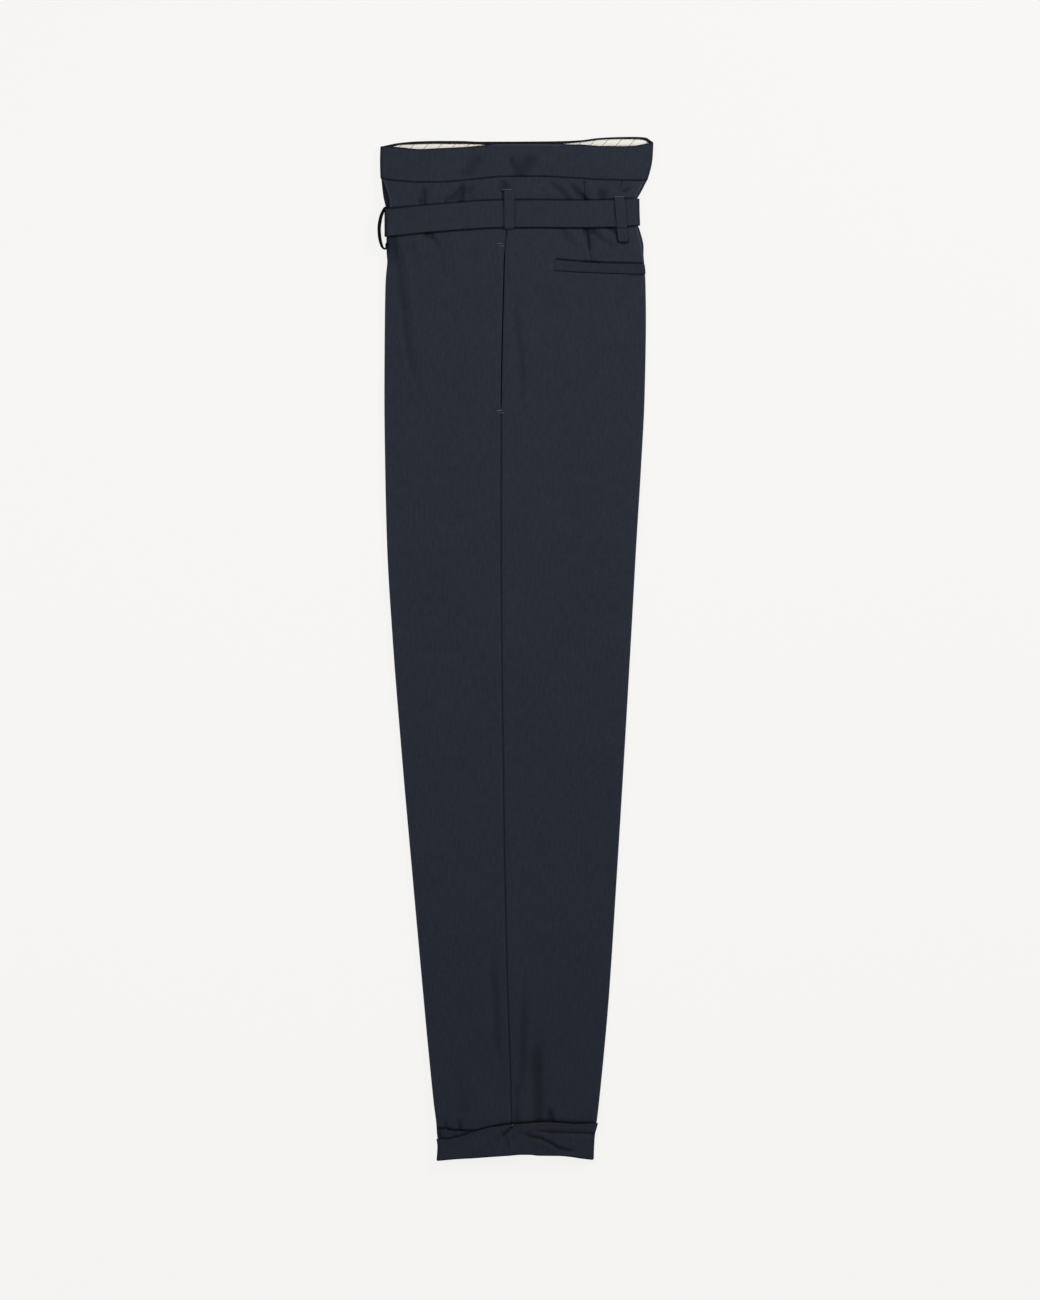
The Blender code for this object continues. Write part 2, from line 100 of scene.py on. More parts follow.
TopLine = namedtuple("TopLine", "x near far seam belt")
TOP_LINES = (
    TopLine(-143, 533.5, 533.8, 499.4, 451.8),
    TopLine(-123, 532.3, 537.9, 496.8, 453.6),
    TopLine(-102, 530.2, 539.6, 495.4, 455.7),
    TopLine(-81, 531.1, 540.0, 495.3, 457.5),
    TopLine(-59, 532.0, 539.9, 496.9, 459.2),
    TopLine(-38, 533.8, 539.1, 498.9, 460.6),
    TopLine(-17, 535.3, 539.1, 500.9, 461.5),
    TopLine(25, 535.3, 539.3, 501.3, 461.7),
    TopLine(50, 535.2, 539.7, 500.2, 461.5),
    TopLine(68, 535.0, 540.6, 499.3, 461.5),
    TopLine(89, 533.5, 543.2, 498.0, 461.8),
    TopLine(110, 533.3, 544.2, 497.5, 462.6),
    TopLine(124, 533.8, 544.4, 497.3, 463.6),
    TopLine(137, 536.2, 543.8, 497.2, 464.5),
    TopLine(145, 537.4, 538.6, 497.2, 465.0),
)
HemLine = namedtuple("HemLine", "x cuff_top hem")
HEM_LINES = (
    HemLine(-84, -508.8, -542.0),
    HemLine(-60, -511.1, -539.8),
    HemLine(-46, -511.5, -539.0),
    HemLine(-27, -507.4, -537.6),
    HemLine(-8, -504.2, -536.3),
    HemLine(6, -503.2, -535.2),
    HemLine(15, -502.6, -535.3),
    HemLine(24, -501.9, -536.2),
    HemLine(46, -502.2, -536.5),
    HemLine(57, -503.0, -537.5),
    HemLine(68, -503.5, -539.2),
    HemLine(84, -503.2, -541.2),
)

# ---- Creases of the cloth ----
# Each is a soft trough or ridge along a short path of (x, y). rise is its height at the middle, width how far
# it spreads, and head and foot the share of its length over which it fades out.
Crease = namedtuple("Crease", "name rise width head foot path")
PANEL_CREASES = (
    # front pleat and the soft folds of the hip
    Crease("front pleat hollow", -1.0, 5, 0.0, 0.4,
           ((-130, 440), (-123, 395), (-116, 334), (-107, 285), (-92, 240))),
    Crease("front pleat edge", 0.6, 5, 0.1, 0.5,
           ((-122, 438), (-114, 390), (-107, 330), (-97, 275), (-84, 240))),
    Crease("hip blob", -2.2, 3.8, 0.1, 0.2, ((-98, 441.5), (-92, 440.5), (-86, 438.5))),
    Crease("hip slant", -1.0, 2.4, 0.0, 0.7, ((-89, 437), (-82.5, 429), (-80, 422))),
    Crease("hip long fall", -0.4, 4, 0.2, 0.5, ((-80, 423), (-77, 405), (-75, 385))),
    Crease("hip roll front", 0.5, 6, 0.0, 0.6, ((-108, 438), (-102, 420), (-98, 392))),
    Crease("hip roll front inner", 0.4, 7, 0.0, 0.6, ((-70, 440), (-66, 420), (-64, 390))),
    Crease("front soft fall", -0.4, 9, 0.2, 0.6, ((-46, 436), (-42, 400), (-44, 350))),
    Crease("pocket fall", -0.9, 5, 0.3, 0.3, ((-7.5, 406), (-2, 370), (4.5, 319), (7.5, 274), (8, 245))),
    Crease("pocket roll", 0.35, 6, 0.3, 0.3, ((-13, 402), (-8, 350), (-4, 280))),
    Crease("seat fall", -0.5, 6, 0.3, 0.5, ((33, 388), (38, 374), (43, 358), (47, 335))),
    Crease("seat fall low", -0.3, 12, 0.4, 0.5, ((70, 386), (76, 330), (80, 250))),
    Crease("under belt by dart", -2.2, 3.6, 0.1, 0.1, ((70, 445.5), (77, 444), (85, 442.5))),
    Crease("under belt slant", -1.1, 2.6, 0.0, 0.6, ((83, 442), (90, 435), (97, 427))),
    Crease("under belt by loop", -2.0, 3.2, 0.0, 0.4, ((100, 446), (104, 444), (106, 439))),
    Crease("seat roll by dart", 0.9, 3.6, 0.1, 0.5, ((58.8, 444), (64, 436), (70, 426))),
    Crease("seat roll by loop", 1.0, 3.2, 0.1, 0.5, ((89, 443), (94, 437), (99, 428))),
    Crease("seat hollow", -0.8, 4, 0.0, 0.6, ((48, 447), (54, 438), (60, 426))),
    Crease("dart hollow", -1.6, 3.0, 0.0, 0.4, ((75, 442), (77, 430), (79, 418))),
    Crease("seat hollow by fold", -0.7, 4, 0.2, 0.5, ((94, 436), (101, 428), (106, 419))),
    Crease("back edge hollow", -0.5, 4, 0.1, 0.5, ((122, 447), (125, 432), (128, 418))),
    # gathers between the waist seam and the belt
    Crease("gather one", -1.8, 1.9, 0.4, 0.0, ((-98.6, 493), (-97.2, 483), (-97, 471))),
    Crease("gather one foot", -1.4, 2.4, 0.3, 0.2, ((-106, 475), (-101, 473.5), (-96, 473))),
    Crease("gather one roll", 0.5, 4, 0.3, 0.1, ((-91, 491), (-90, 484), (-89, 476))),
    Crease("gather front roll", 0.5, 6, 0.3, 0.2, ((-112, 493), (-111, 484), (-112, 476))),
    Crease("gather two", -1.9, 2.8, 0.35, 0.0, ((-57, 491), (-58, 484), (-58.5, 474))),
    Crease("gather two slant", -1.9, 2.2, 0.4, 0.0, ((-53, 495), (-59, 486), (-69.5, 477.5), (-75, 474.5))),
    Crease("gather two fullness", -1.0, 7.5, 0.2, 0.1, ((-52, 496), (-60, 484), (-66, 473))),
    Crease("gather one fullness", -0.7, 6.0, 0.3, 0.1, ((-100, 490), (-101, 480), (-101, 472))),
    Crease("gather two flank", -1.1, 2.4, 0.3, 0.3, ((-44, 493), (-49, 487), (-53, 481))),
    Crease("gather two ridge", 1.1, 3.2, 0.2, 0.2, ((-30, 495.5), (-39.5, 487.5), (-50, 478.5))),
    Crease("gather two roll", 0.6, 4, 0.3, 0.2, ((-73, 489), (-77, 484), (-81, 478))),
    Crease("gather side", -1.7, 6, 0.2, 0.1, ((-13, 498), (-13, 491), (-15, 484))),
    Crease("gather side streak", 0.4, 1.6, 0.2, 0.2, ((-8.5, 498), (-8.7, 490))),
    Crease("gather back slant", -1.4, 3.0, 0.4, 0.0, ((31, 498.5), (47.7, 486), (55, 477))),
    Crease("gather back first ridge", 0.6, 3.6, 0.3, 0.2, ((21, 496), (30, 488), (38, 481))),
    Crease("gather back ridge", 0.8, 3.0, 0.3, 0.1, ((51, 492), (57, 485), (62, 479))),
    Crease("gather back deep", -2.3, 3.3, 0.45, 0.0, ((54, 497), (63.4, 486), (72.5, 477), (75, 474))),
    Crease("gather back deep foot", -1.4, 2.6, 0.4, 0.0, ((67, 484), (73, 477))),
    Crease("gather back dart roll", 0.7, 3.6, 0.2, 0.1, ((76.5, 496), (78.5, 488), (80.5, 480))),
    Crease("gather back fullness", -2.2, 4.2, 0.45, 0.0, ((92.5, 490), (92, 484), (91, 475))),
    Crease("gather arch", -0.7, 1.5, 0.1, 0.3, ((86.3, 477), (87.6, 485), (91.5, 489.5), (97, 490.5))),
    Crease("gather by back loop", -1.3, 1.9, 0.1, 0.4, ((111, 485.5), (116, 487), (122, 489))),
    Crease("gather by fold roll", 0.8, 3.6, 0.2, 0.2, ((117, 494), (122, 493), (128, 492))),
    Crease("back fold ridge", 0.7, 2.0, 0.1, 0.1, ((137, 498), (132, 489), (128, 479))),
    # the leg
    Crease("thigh breath", -0.35, 18, 0.4, 0.4, ((-70, 210), (-74, 120), (-72, 20))),
    Crease("thigh breath back", -0.35, 16, 0.4, 0.4, ((52, 230), (56, 140), (54, 40))),
    Crease("knee breath", -0.3, 15, 0.4, 0.4, ((-62, -10), (-58, -100), (-60, -200))),
    Crease("knee breath back", 0.3, 16, 0.4, 0.4, ((46, 10), (42, -90), (46, -190))),
    Crease("calf fall", -1.1, 6, 0.5, 0.3, ((-27, -290), (-23.5, -337), (-20, -407), (-16, -460))),
    Crease("calf fall back", -1.1, 5, 0.4, 0.3, ((9, -322), (9, -370), (7.5, -420), (6, -485))),
    Crease("calf roll", 0.35, 8, 0.4, 0.3, ((-44, -330), (-38, -390), (-34, -450))),
    Crease("ankle fall", -1.5, 6, 0.5, 0.0, ((20, -385), (22.5, -430), (24, -470), (24, -504))),
    Crease("ankle fall front", -0.6, 8, 0.5, 0.2, ((-62, -430), (-58, -465), (-56, -500))),
    Crease("ankle pinch", -2.5, 3.6, 0.6, 0.0, ((35.5, -484), (36.5, -492), (38, -504))),
    Crease("ankle by seam", -1.0, 3.6, 0.5, 0.0, ((1, -446), (1, -475), (1, -503))),
    Crease("ankle pinch roll", 0.6, 3.5, 0.5, 0.1, ((43, -486), (43.5, -494), (45, -502))),
    Crease("hem pinch one", -1.7, 2.4, 0.6, 0.0, ((-60.5, -494), (-60, -502), (-59, -512))),
    Crease("hem pinch two", -1.3, 2.6, 0.6, 0.0, ((-75.5, -496), (-75, -503), (-74, -511))),
)
PANEL_SEAMS = (
    Crease("back dart above belt", -0.9, 0.7, 0.1, 0.0, ((72.2, 499), (72.5, 486), (73, 470))),
    Crease("back dart below belt", -0.9, 0.75, 0.0, 0.25, ((75.0, 449), (76.8, 430), (80.0, 408.5))),
    Crease("outer dart above belt", -0.7, 0.8, 0.1, 0.3, ((112.6, 498), (111, 492), (109.4, 487))),
    Crease("beside side loop", -0.9, 1.1, 0.0, 0.1, ((-14.4, 488.5), (-14.2, 474))),
    Crease("beside back loop", -1.4, 1.6, 0.2, 0.2,
           ((107.4, 447), (107.8, 437), (109.4, 432.2), (113.5, 430.4), (118.0, 431.8), (119.8, 437))),
)
# The back welt: its upper and lower edges fall a little towards the fold
WELT_START, WELT_END = 38.6, 136.0
WELT_REACH = 1.5
WELT_THICK = 0.7
WELT_TOP = ((39.5, 412.9), (70, 410.3), (92, 409.2), (136, 408.6))
WELT_LOW = ((39.5, 402.0), (70, 400.2), (100, 399.2), (136, 398.5))
WELT_GROOVES = (
    Crease("welt mouth", -1.9, 1.05, 0.05, 0.0, tuple((x, y + 0.8) for x, y in WELT_TOP)),
    Crease("welt mouth fullness", -0.9, 1.6, 0.3, 0.3, ((68, 411.4), (80, 410.8), (92, 410.2))),
    Crease("welt seam", -1.0, 0.8, 0.05, 0.0, tuple((x, y - 0.5) for x, y in WELT_LOW)),
    Crease("welt end", -0.5, 0.6, 0.2, 0.2, ((WELT_START - 0.4, 412.2), (WELT_START - 0.2, 402.4))),
)
BAND_CREASES = (
    Crease("band fall front", -1.4, 10, 0.3, 0.2, ((-36, 529), (-43, 518), (-49, 508), (-54, 498))),
    Crease("band fall front low", -0.5, 6, 0.4, 0.2, ((-56, 510), (-60, 499))),
    Crease("band lift side", 0.6, 6, 0.3, 0.3, ((-24, 531), (-26, 518), (-30, 505))),
    Crease("band fall side", -1.3, 3.0, 0.4, 0.0, ((-9, 528), (-5.5, 519), (-1.5, 510), (2.5, 500))),
    Crease("band wedge", -1.3, 6.5, 0.4, 0.0, ((25, 527), (15, 518), (8, 509), (3, 500))),
    Crease("band fall side wide", -0.7, 13, 0.4, 0.0, ((2, 528), (3, 514), (3, 500))),
    Crease("band roll side", 0.7, 6, 0.2, 0.4, ((-14, 534), (-18, 518), (-22, 502))),
    Crease("band slant roll", 0.6, 5, 0.2, 0.4, ((6, 533), (5, 524), (4, 517))),
    Crease("band roll back", 0.5, 14, 0.2, 0.3, ((36, 535), (36, 518), (38, 500))),
    Crease("band swell front", 1.2, 34, 0.0, 0.4, ((-92, 540), (-93, 520), (-95, 496))),
    Crease("band swell back", 1.6, 36, 0.0, 0.4, ((92, 545), (90, 520), (88, 496))),
    Crease("band back crease", -0.4, 5, 0.3, 0.2, ((118, 528), (112, 514), (110, 500))),
)
CUFF_CREASES = (
    Crease("cuff groove by seam", -1.7, 1.7, 0.05, 0.45,
           ((-3.6, -505.5), (-8, -509.5), (-12, -513.5), (-18, -519))),
    Crease("cuff roll by seam", 0.6, 4, 0.2, 0.5, ((-12, -506), (-17, -512), (-25, -520))),
    Crease("cuff long crease", -1.5, 2.0, 0.35, 0.15,
           ((2, -509), (14, -515.2), (27, -518.5), (37, -523.3), (45.6, -528.4), (54.2, -530.6),
            (66, -531.4))),
    Crease("cuff long roll", 0.6, 3.6, 0.3, 0.3,
           ((14, -520), (27, -523.5), (37, -528.5), (46, -533.5))),
    Crease("cuff top line back", -1.5, 1.25, 0.25, 0.0,
           ((16, -509.2), (36, -511.4), (60, -512.0), (83, -512.8))),
    Crease("cuff faint line", -0.3, 2, 0.4, 0.4, ((-9, -510), (-8, -534))),
    Crease("cuff front slant", -0.35, 3, 0.4, 0.4, ((-14, -514), (-24, -524), (-34, -532))),
    Crease("cuff back slant", -0.35, 2, 0.3, 0.3, ((71, -517), (74, -524), (76, -532))),
)
UNDER_SHIFT = 9.0
UNDER_SHARE = 0.45
UNDER_DEEPEST = -0.55

# How deep and wide the cloth rolls into a seam, dips beside the belt and the turn-up, and stands up as a
# low ridge along the side seam
SEAM_ROLL, SEAM_ROLL_WIDE = 1.0, 1.15
BELT_PRESS, BELT_PRESS_OFF, BELT_PRESS_WIDE = 0.95, 0.7, 1.25
CUFF_PRESS, CUFF_PRESS_OFF, CUFF_PRESS_WIDE = 1.4, 0.8, 1.85
SEAM_RIDGE, SEAM_RIDGE_WIDE = 0.22, 9.0
FOLD_STEP, PLEAT_STEP = 1.9, 0.45
RUMPLE = 0.07


def smooth_column(table, key, name, at):
    """A column of a table at one or more places, on a smooth curve that never overshoots its rows."""
    keys = np.array([getattr(row, key) for row in table], float)
    values = np.array([getattr(row, name) for row in table], float)
    spans = np.diff(keys)
    slopes = np.diff(values) / spans
    sums = slopes[:-1] + slopes[1:]
    products = slopes[:-1] * slopes[1:]
    inner = np.where(products > 0, 2 * products / np.where(sums == 0, 1, sums), 0)
    tangents = np.concatenate([slopes[:1], inner, slopes[-1:]])
    at = np.clip(at, keys[0], keys[-1])
    row = np.clip(np.searchsorted(keys, at, side="right") - 1, 0, len(spans) - 1)
    t = (at - keys[row]) / spans[row]
    return (
        values[row] * (1 + 2 * t) * (1 - t) ** 2
        + values[row + 1] * t * t * (3 - 2 * t)
        + spans[row] * t * (1 - t) * (tangents[row] * (1 - t) - tangents[row + 1] * t)
    )


def section(name, level):
    return smooth_column(SECTIONS, "level", name, level)


def top_line(name, x):
    return smooth_column(TOP_LINES, "x", name, x)


def hem_line(name, x):
    return smooth_column(HEM_LINES, "x", name, x)


def line_at(line, at):
    """The second value of a line of pairs, read at the first."""
    keys, values = np.array(line, float).T
    return np.interp(at, keys, values)


def ramp(start, end, at):
    """0 at start and before, 1 at end and past it, with a soft turn at both."""
    t = np.clip((at - start) / (end - start), 0.0, 1.0)
    return t * t * (3 - 2 * t)


def length_at(side, level, x):
    """Y of a place: its level, pulled into the curves of the rim, the waist seam, the belt and the hem."""
    rim = top_line("near" if side == UPPER else "far", x)
    seam = top_line("seam", x)
    belt_pull = top_line("belt", x) - (BELT_TOP + BELT_LOW) / 2
    rungs = (STRAIGHT_BELOW, BELT_LOW, BELT_TOP, BAND_SEAM, RIM)
    pulls = (0.0 * x, belt_pull, belt_pull, seam - BAND_SEAM, rim - RIM)
    pull = pulls[0]
    for low, high, below, above in zip(rungs, rungs[1:], pulls, pulls[1:]):
        pull = pull + (above - below) * np.clip((level - low) / (high - low), 0.0, 1.0)
    return level + pull + (hem_line("hem", x) - HEM) * ramp(HEM_PULL, HEM, level)


def level_at(side, x, y):
    """The level of a place known by its x and y."""
    level = np.asarray(y, float)
    for _ in range(6):
        level = level - (length_at(side, level, x) - y)
    return level


def crease_height(creases, x, y):
    """The height that a table of creases adds at each place."""
    total = np.zeros(np.broadcast(x, y).shape)
    for crease in creases:
        path = np.array(crease.path, float)
        reach = 3.0 * crease.width
        near = (
            (x > path[:, 0].min() - reach) & (x < path[:, 0].max() + reach)
            & (y > path[:, 1].min() - reach) & (y < path[:, 1].max() + reach)
        )
        if not near.any():
            continue
        spot = np.stack([np.broadcast_to(x, near.shape)[near], np.broadcast_to(y, near.shape)[near]], axis=-1)
        steps = np.diff(path, axis=0)
        lengths = np.hypot(steps[:, 0], steps[:, 1])
        before = np.concatenate([[0.0], np.cumsum(lengths)])
        nearest = np.full(len(spot), 1e9)
        along = np.zeros(len(spot))
        for start, step, length, done in zip(path, steps, lengths, before):
            share = np.clip(((spot - start) @ step) / length**2, 0.0, 1.0)
            gone = np.hypot(*(spot - start - share[:, None] * step).T)
            closer = gone < nearest
            nearest = np.where(closer, gone, nearest)
            along = np.where(closer, (done + share * length) / before[-1], along)
        fade = np.ones(len(spot))
        if crease.head:
            fade = fade * ramp(0.0, crease.head, along)
        if crease.foot:
            fade = fade * ramp(1.0, 1.0 - crease.foot, along)
        total[near] += crease.rise * fade * np.exp(-((nearest / crease.width) ** 2))
    return total


Wave = namedtuple("Wave", "across along phase share")
WAVES = (
    Wave(0.145, 0.052, 0.3, 1.0),
    Wave(-0.083, 0.118, 1.9, 0.9),
    Wave(0.236, -0.074, 4.1, 0.55),
    Wave(0.047, 0.171, 2.6, 0.7),
    Wave(-0.311, -0.137, 5.2, 0.35),
    Wave(0.022, -0.034, 0.9, 1.6),
)


def rumple(x, y):
    """The slight unevenness of cloth ironed flat."""
    return RUMPLE * sum(w.share * np.sin(w.across * x + w.along * y + w.phase) for w in WAVES)


def belt_hold(level):
    """How far cloth may stand up near the belt, which presses it flat."""
    away = np.maximum(np.maximum(BELT_LOW - level, level - BELT_TOP), 0.0)
    return 0.15 + 0.16 * away


def under_only(height):
    """The lower side rests on a surface, so its creases only ever hollow it."""
    return np.clip(height * UNDER_SHARE, UNDER_DEEPEST, 0.0)


# Pairs of (y, x) along two folded edges of the upper layer: in the free stretch of the front fold, and of the
# front pleat below the belt
FRONT_FOLD = ((468, -133.0), (478, -133.8), (486, -136.2), (496, -139.7), (500, -143.5))
PLEAT_FOLD = ((396, -121), (411, -123.4), (428, -126.2), (444, -128.4))


def front_fold(x, y):
    """1 in front of the upper layer's fold, between the band and the belt, where the lower layer shows, and
    how far behind the fold each place is."""
    line = line_at(FRONT_FOLD, y)
    return ramp(line, line - 0.9, x) * ramp(500, 497, y) * ramp(466, 469, y), x - line


def pleat_fold(x, y):
    """1 in front of the front pleat's edge just below the belt, fading out down the hip."""
    return ramp(0.7, -0.7, x - line_at(PLEAT_FOLD, y)) * ramp(396, 432, y) * ramp(449, 445, y)


def near_line(gap, wide):
    """1 on a line, falling away over about wide on both sides."""
    return np.exp(-((gap / wide) ** 2))


def pocket_mouth(level):
    """1 where the side pocket is open, closing softly at its two ends."""
    low = ramp(POCKET_LOW, POCKET_LOW + POCKET_CLOSES, level)
    return low * ramp(POCKET_TOP, POCKET_TOP - POCKET_CLOSES, level)


def panel_soft(side, x, level):
    """The creases that the cloth falls into."""
    y = length_at(side, level, x)
    if side == LOWER:
        return under_only(crease_height(PANEL_CREASES, x - UNDER_SHIFT, y))
    return np.minimum(crease_height(PANEL_CREASES, x, y) + rumple(x, y), belt_hold(level))


def panel_seams(side, x, level):
    """The narrow lines where the cloth is sewn, or dips under the belt or the turn-up."""
    y = length_at(side, level, x)
    off_seam = np.abs(x - section("side", level))
    lines = SEAM_RIDGE * np.exp(-((off_seam / SEAM_RIDGE_WIDE) ** 4))
    rolled = SEAM_ROLL * (1 - 0.3 * pocket_mouth(level)) * (1 - 0.6 * ramp(470, 486, level))
    lines = lines - rolled * near_line(off_seam, SEAM_ROLL_WIDE - 0.25 * ramp(430, 470, level))
    lines = lines - SEAM_ROLL * near_line(BAND_SEAM - level, SEAM_ROLL_WIDE)
    for edge, way in ((BELT_TOP, 1), (BELT_LOW, -1)):
        lines = lines - BELT_PRESS * near_line(level - edge - way * BELT_PRESS_OFF, BELT_PRESS_WIDE)
    cuff_gap = y - hem_line("cuff_top", x)
    lines = lines - CUFF_PRESS * near_line(cuff_gap - CUFF_PRESS_OFF, CUFF_PRESS_WIDE)
    lines = lines - 0.5 * ramp(0.0, -4.0, cuff_gap)
    lines = lines + crease_height(PANEL_SEAMS + WELT_GROOVES, x, y)
    if side == UPPER:
        return lines - FOLD_STEP * front_fold(x, y)[0] - PLEAT_STEP * pleat_fold(x, y)
    return under_only(lines)


def panel_relief(side, x, level):
    return panel_soft(side, x, level) + panel_seams(side, x, level)


def band_seams(x, level):
    return -SEAM_ROLL * near_line(level - BAND_SEAM, SEAM_ROLL_WIDE) + 0.0 * x


def band_soft(side, x, level):
    y = length_at(side, level, x)
    soft = crease_height(BAND_CREASES, x if side == UPPER else x - UNDER_SHIFT, y) + rumple(x, y)
    return soft if side == UPPER else under_only(soft)


def band_relief(side, x, level):
    seams = band_seams(x, level)
    return band_soft(side, x, level) + (seams if side == UPPER else under_only(seams))


def lining_relief(side, x, level):
    return crease_height(BAND_CREASES, x, length_at(side, level, x)) if side == UPPER else 0.0 * x


def belt_relief(side, x, level):
    """A faint ridge along the belt, from the seam ironed inside it."""
    ridge = 0.10 * near_line((level - BELT_LOW) / BELT_WIDE - 0.62, 0.03)
    return ridge + 0.8 * rumple(x, 3 * level) if side == UPPER else 0.0 * x


def cuff_relief(side, x, level):
    y = length_at(side, level, x)
    soft = crease_height(CUFF_CREASES, x, y) + 1.3 * rumple(1.6 * x, 1.6 * y)
    return soft if side == UPPER else under_only(soft)


def flat_relief(side, x, level):
    return 0.0 * (x + level)


def swell(x, level):
    """1 along the middle of the garment, falling to 0 at its two folded edges."""
    front, back = section("front", level), section("back", level)
    share = (2 * x - front - back) / (back - front)
    return 1 - np.clip(np.abs(share), 0.0, 1.0) ** 2.3


def outer_height(side, x, level, relief=flat_relief):
    base = section("lift", level) + CLOTH / 2
    if side == LOWER:
        return base - relief(side, x, level)
    crown = section("edge", level) + section("crown", level) * swell(x, level)
    return base + crown + relief(side, x, level)


def middle_height(x, level):
    """Between the two halves of the garment, where their inner layers face each other."""
    base = section("lift", level) + CLOTH / 2
    return base + section("edge", level) / 2 + 0.4 * section("crown", level) * swell(x, level)


def inner_height(side, x, level):
    return middle_height(x, level) + side * section("layer", level) / 2


def seam_gape(level):
    """How far apart the two panels lie at the side seam: the pocket mouth is a slit left in it."""
    return SEAM_GAP + (POCKET_GAPE - SEAM_GAP) * pocket_mouth(level)


def point(side, face, turn, level, out=0.0, relief=flat_relief):
    """X, Y and Z of a place on the garment, in millimetres: turn is 0 at the side seam, 1 where the outer
    cloth reaches the fold, 2 past the fold and 3 at the inner edge, and out is how far it stands off."""
    turn, level, out = np.broadcast_arrays(*(np.asarray(v, float) for v in (turn, level, out)))
    edge_x = section("front" if face == FRONT else "back", level) - face * CLOTH / 2
    side_x = section("side", level)
    start_x = side_x + face * seam_gape(level) / 2
    if side == LOWER:
        start_x = start_x - SLOT_STAGGER * ramp(BELT_LOW, BELT_TOP, level)
    outer_share = np.clip(turn, 0.0, 1.0)

    height = section("edge", level) / 2
    bend = (2 * height - section("layer", level)) / 4
    bend_x = edge_x - face * bend
    tuck = np.clip((TUCK_START - level) / (TUCK_START - CROTCH), 0.0, 1.0) ** 1.5
    inner_seam = side_x + side * SLOT_STAGGER + face * SEAM_GAP / 2
    end_x = bend_x + (inner_seam - bend_x) * tuck
    high, low = outer_height(side, bend_x, level, relief), inner_height(side, bend_x, level)
    angle = math.pi * np.clip(turn - 1, 0.0, 1.0)
    flat_x = start_x + (bend_x - start_x) * outer_share
    back_x = bend_x + (end_x - bend_x) * np.clip(turn - 2, 0.0, 1.0)
    round_x = bend_x + face * (bend + out) * np.sin(angle)
    tucked_x = np.where(turn <= 1, flat_x, np.where(turn < 2, round_x, back_x))
    round_z = (high + low) / 2 + ((high - low) / 2 + side * out) * np.cos(angle)
    tucked_z = np.where(turn <= 1, outer_height(side, flat_x, level, relief) + side * out, round_z)
    tucked_z = np.where(turn >= 2, inner_height(side, back_x, level) - side * out, tucked_z)

    turn_x = edge_x - face * height
    quarter = math.pi / 4 * np.clip(turn - 1, 0.0, 2.0)
    opened = ramp(TUCK_START, TUCK_START - TUCK_OPENS, level)
    parted = SEAM_GAP + (section("layer", level) - SEAM_GAP) * opened
    meet = section("lift", level) + CLOTH / 2 + height + side * parted / 2
    rise = outer_height(side, turn_x, level, relief) - meet
    flat_x = start_x + (turn_x - start_x) * outer_share
    plain_x = np.where(turn <= 1, flat_x, turn_x + face * (height + out) * np.sin(quarter))
    flat_z = outer_height(side, flat_x, level, relief) + side * out
    plain_z = np.where(turn <= 1, flat_z, meet + (rise + side * out) * np.cos(quarter))
    folded = ramp(TUCK_START - TUCK_OPENS / 2, TUCK_FULL, level)
    x = plain_x + (tucked_x - plain_x) * folded
    z = plain_z + (tucked_z - plain_z) * folded
    return np.stack([x, length_at(side, level, x), z], axis=-1)


def spot(side, x, y, out=0.0, relief=flat_relief):
    """A place straight above or below the cloth, by its x and y."""
    x, y, out = np.broadcast_arrays(*(np.asarray(v, float) for v in (x, y, out)))
    level = level_at(side, x, y)
    return np.stack([x, y, outer_height(side, x, level, relief) + side * out], axis=-1)


def stretches(start, *runs):
    """Places along a line: each run is (end, about how far apart)."""
    found = [start]
    for end, step in runs:
        count = max(1, round(abs(end - found[-1]) / step))
        found.extend(np.linspace(found[-1], end, count + 1)[1:])
    return np.array(found, float)


# ---- Finishes ----
NAVY = (0.0170, 0.0214, 0.0328, 1.0)
# The cloth's colour in painted shade, for seams, creases and hollows, and with a painted highlight, for its
# folded edges
NAVY_PAINTED_SHADE = (0.0040, 0.0053, 0.0088, 1.0)
NAVY_PAINTED_HIGHLIGHT = (0.055, 0.068, 0.105, 1.0)
CREAM = (0.90, 0.85, 0.765, 1.0)
CREAM_LINE = (0.22, 0.21, 0.20, 1.0)
# The lining's colour in painted shade
CREAM_PAINTED_SHADE = (0.5, 0.46, 0.41, 1.0)
THREAD = (0.085, 0.096, 0.12, 1.0)
FLOOR = (0.939, 0.930, 0.913, 1.0)
FLOOR_CLOTH = (0.06, 0.0595, 0.058, 1.0)
FLOOR_GLOW = 0.925
WORLD_FILL, BACKDROP_GLOW = 0.31, 0.59
# Metres on the cloth: width of a yarn, height of the weave and of uneven yarns, and the lining's lines
YARN, LINING_YARN = 0.0007, 0.0004
WEAVE_RISE, LINING_RISE, SLUB_RISE, PLY_RISE = 0.00012, 0.00006, 0.00025, 0.0001
LINE_PITCH, LINE_WIDE, LINE_SLANT, STITCH_ROW = 0.0146, 0.0010, 1.15, 0.0275
PLY_TURN = 14000.0


def new_group(name, inputs, outputs):
    """An empty shader node group with named sockets, and its two end nodes."""
    group = bpy.data.node_groups.new(name, "ShaderNodeTree")
    for socket_name, kind, value in inputs:
        socket = group.interface.new_socket(name=socket_name, in_out="INPUT", socket_type=kind)
        if value is not None:
            socket.default_value = value
    for socket_name, kind in outputs:
        group.interface.new_socket(name=socket_name, in_out="OUTPUT", socket_type=kind)
    return group, group.nodes.new("NodeGroupInput"), group.nodes.new("NodeGroupOutput")


def connect(tree, node, links):
    """Gives a node's inputs, by name or number, an output socket or a plain value."""
    for socket, source in links:
        if isinstance(source, bpy.types.NodeSocket):
            tree.links.new(source, node.inputs[socket])
        else:
            node.inputs[socket].default_value = source


def add_node(tree, kind, links=(), **settings):
    node = tree.nodes.new(kind)
    for key, value in settings.items():
        setattr(node, key, value)
    connect(tree, node, links)
    return node


def maths(tree, operation, *values):
    return add_node(tree, "ShaderNodeMath", enumerate(values), operation=operation).outputs[0]


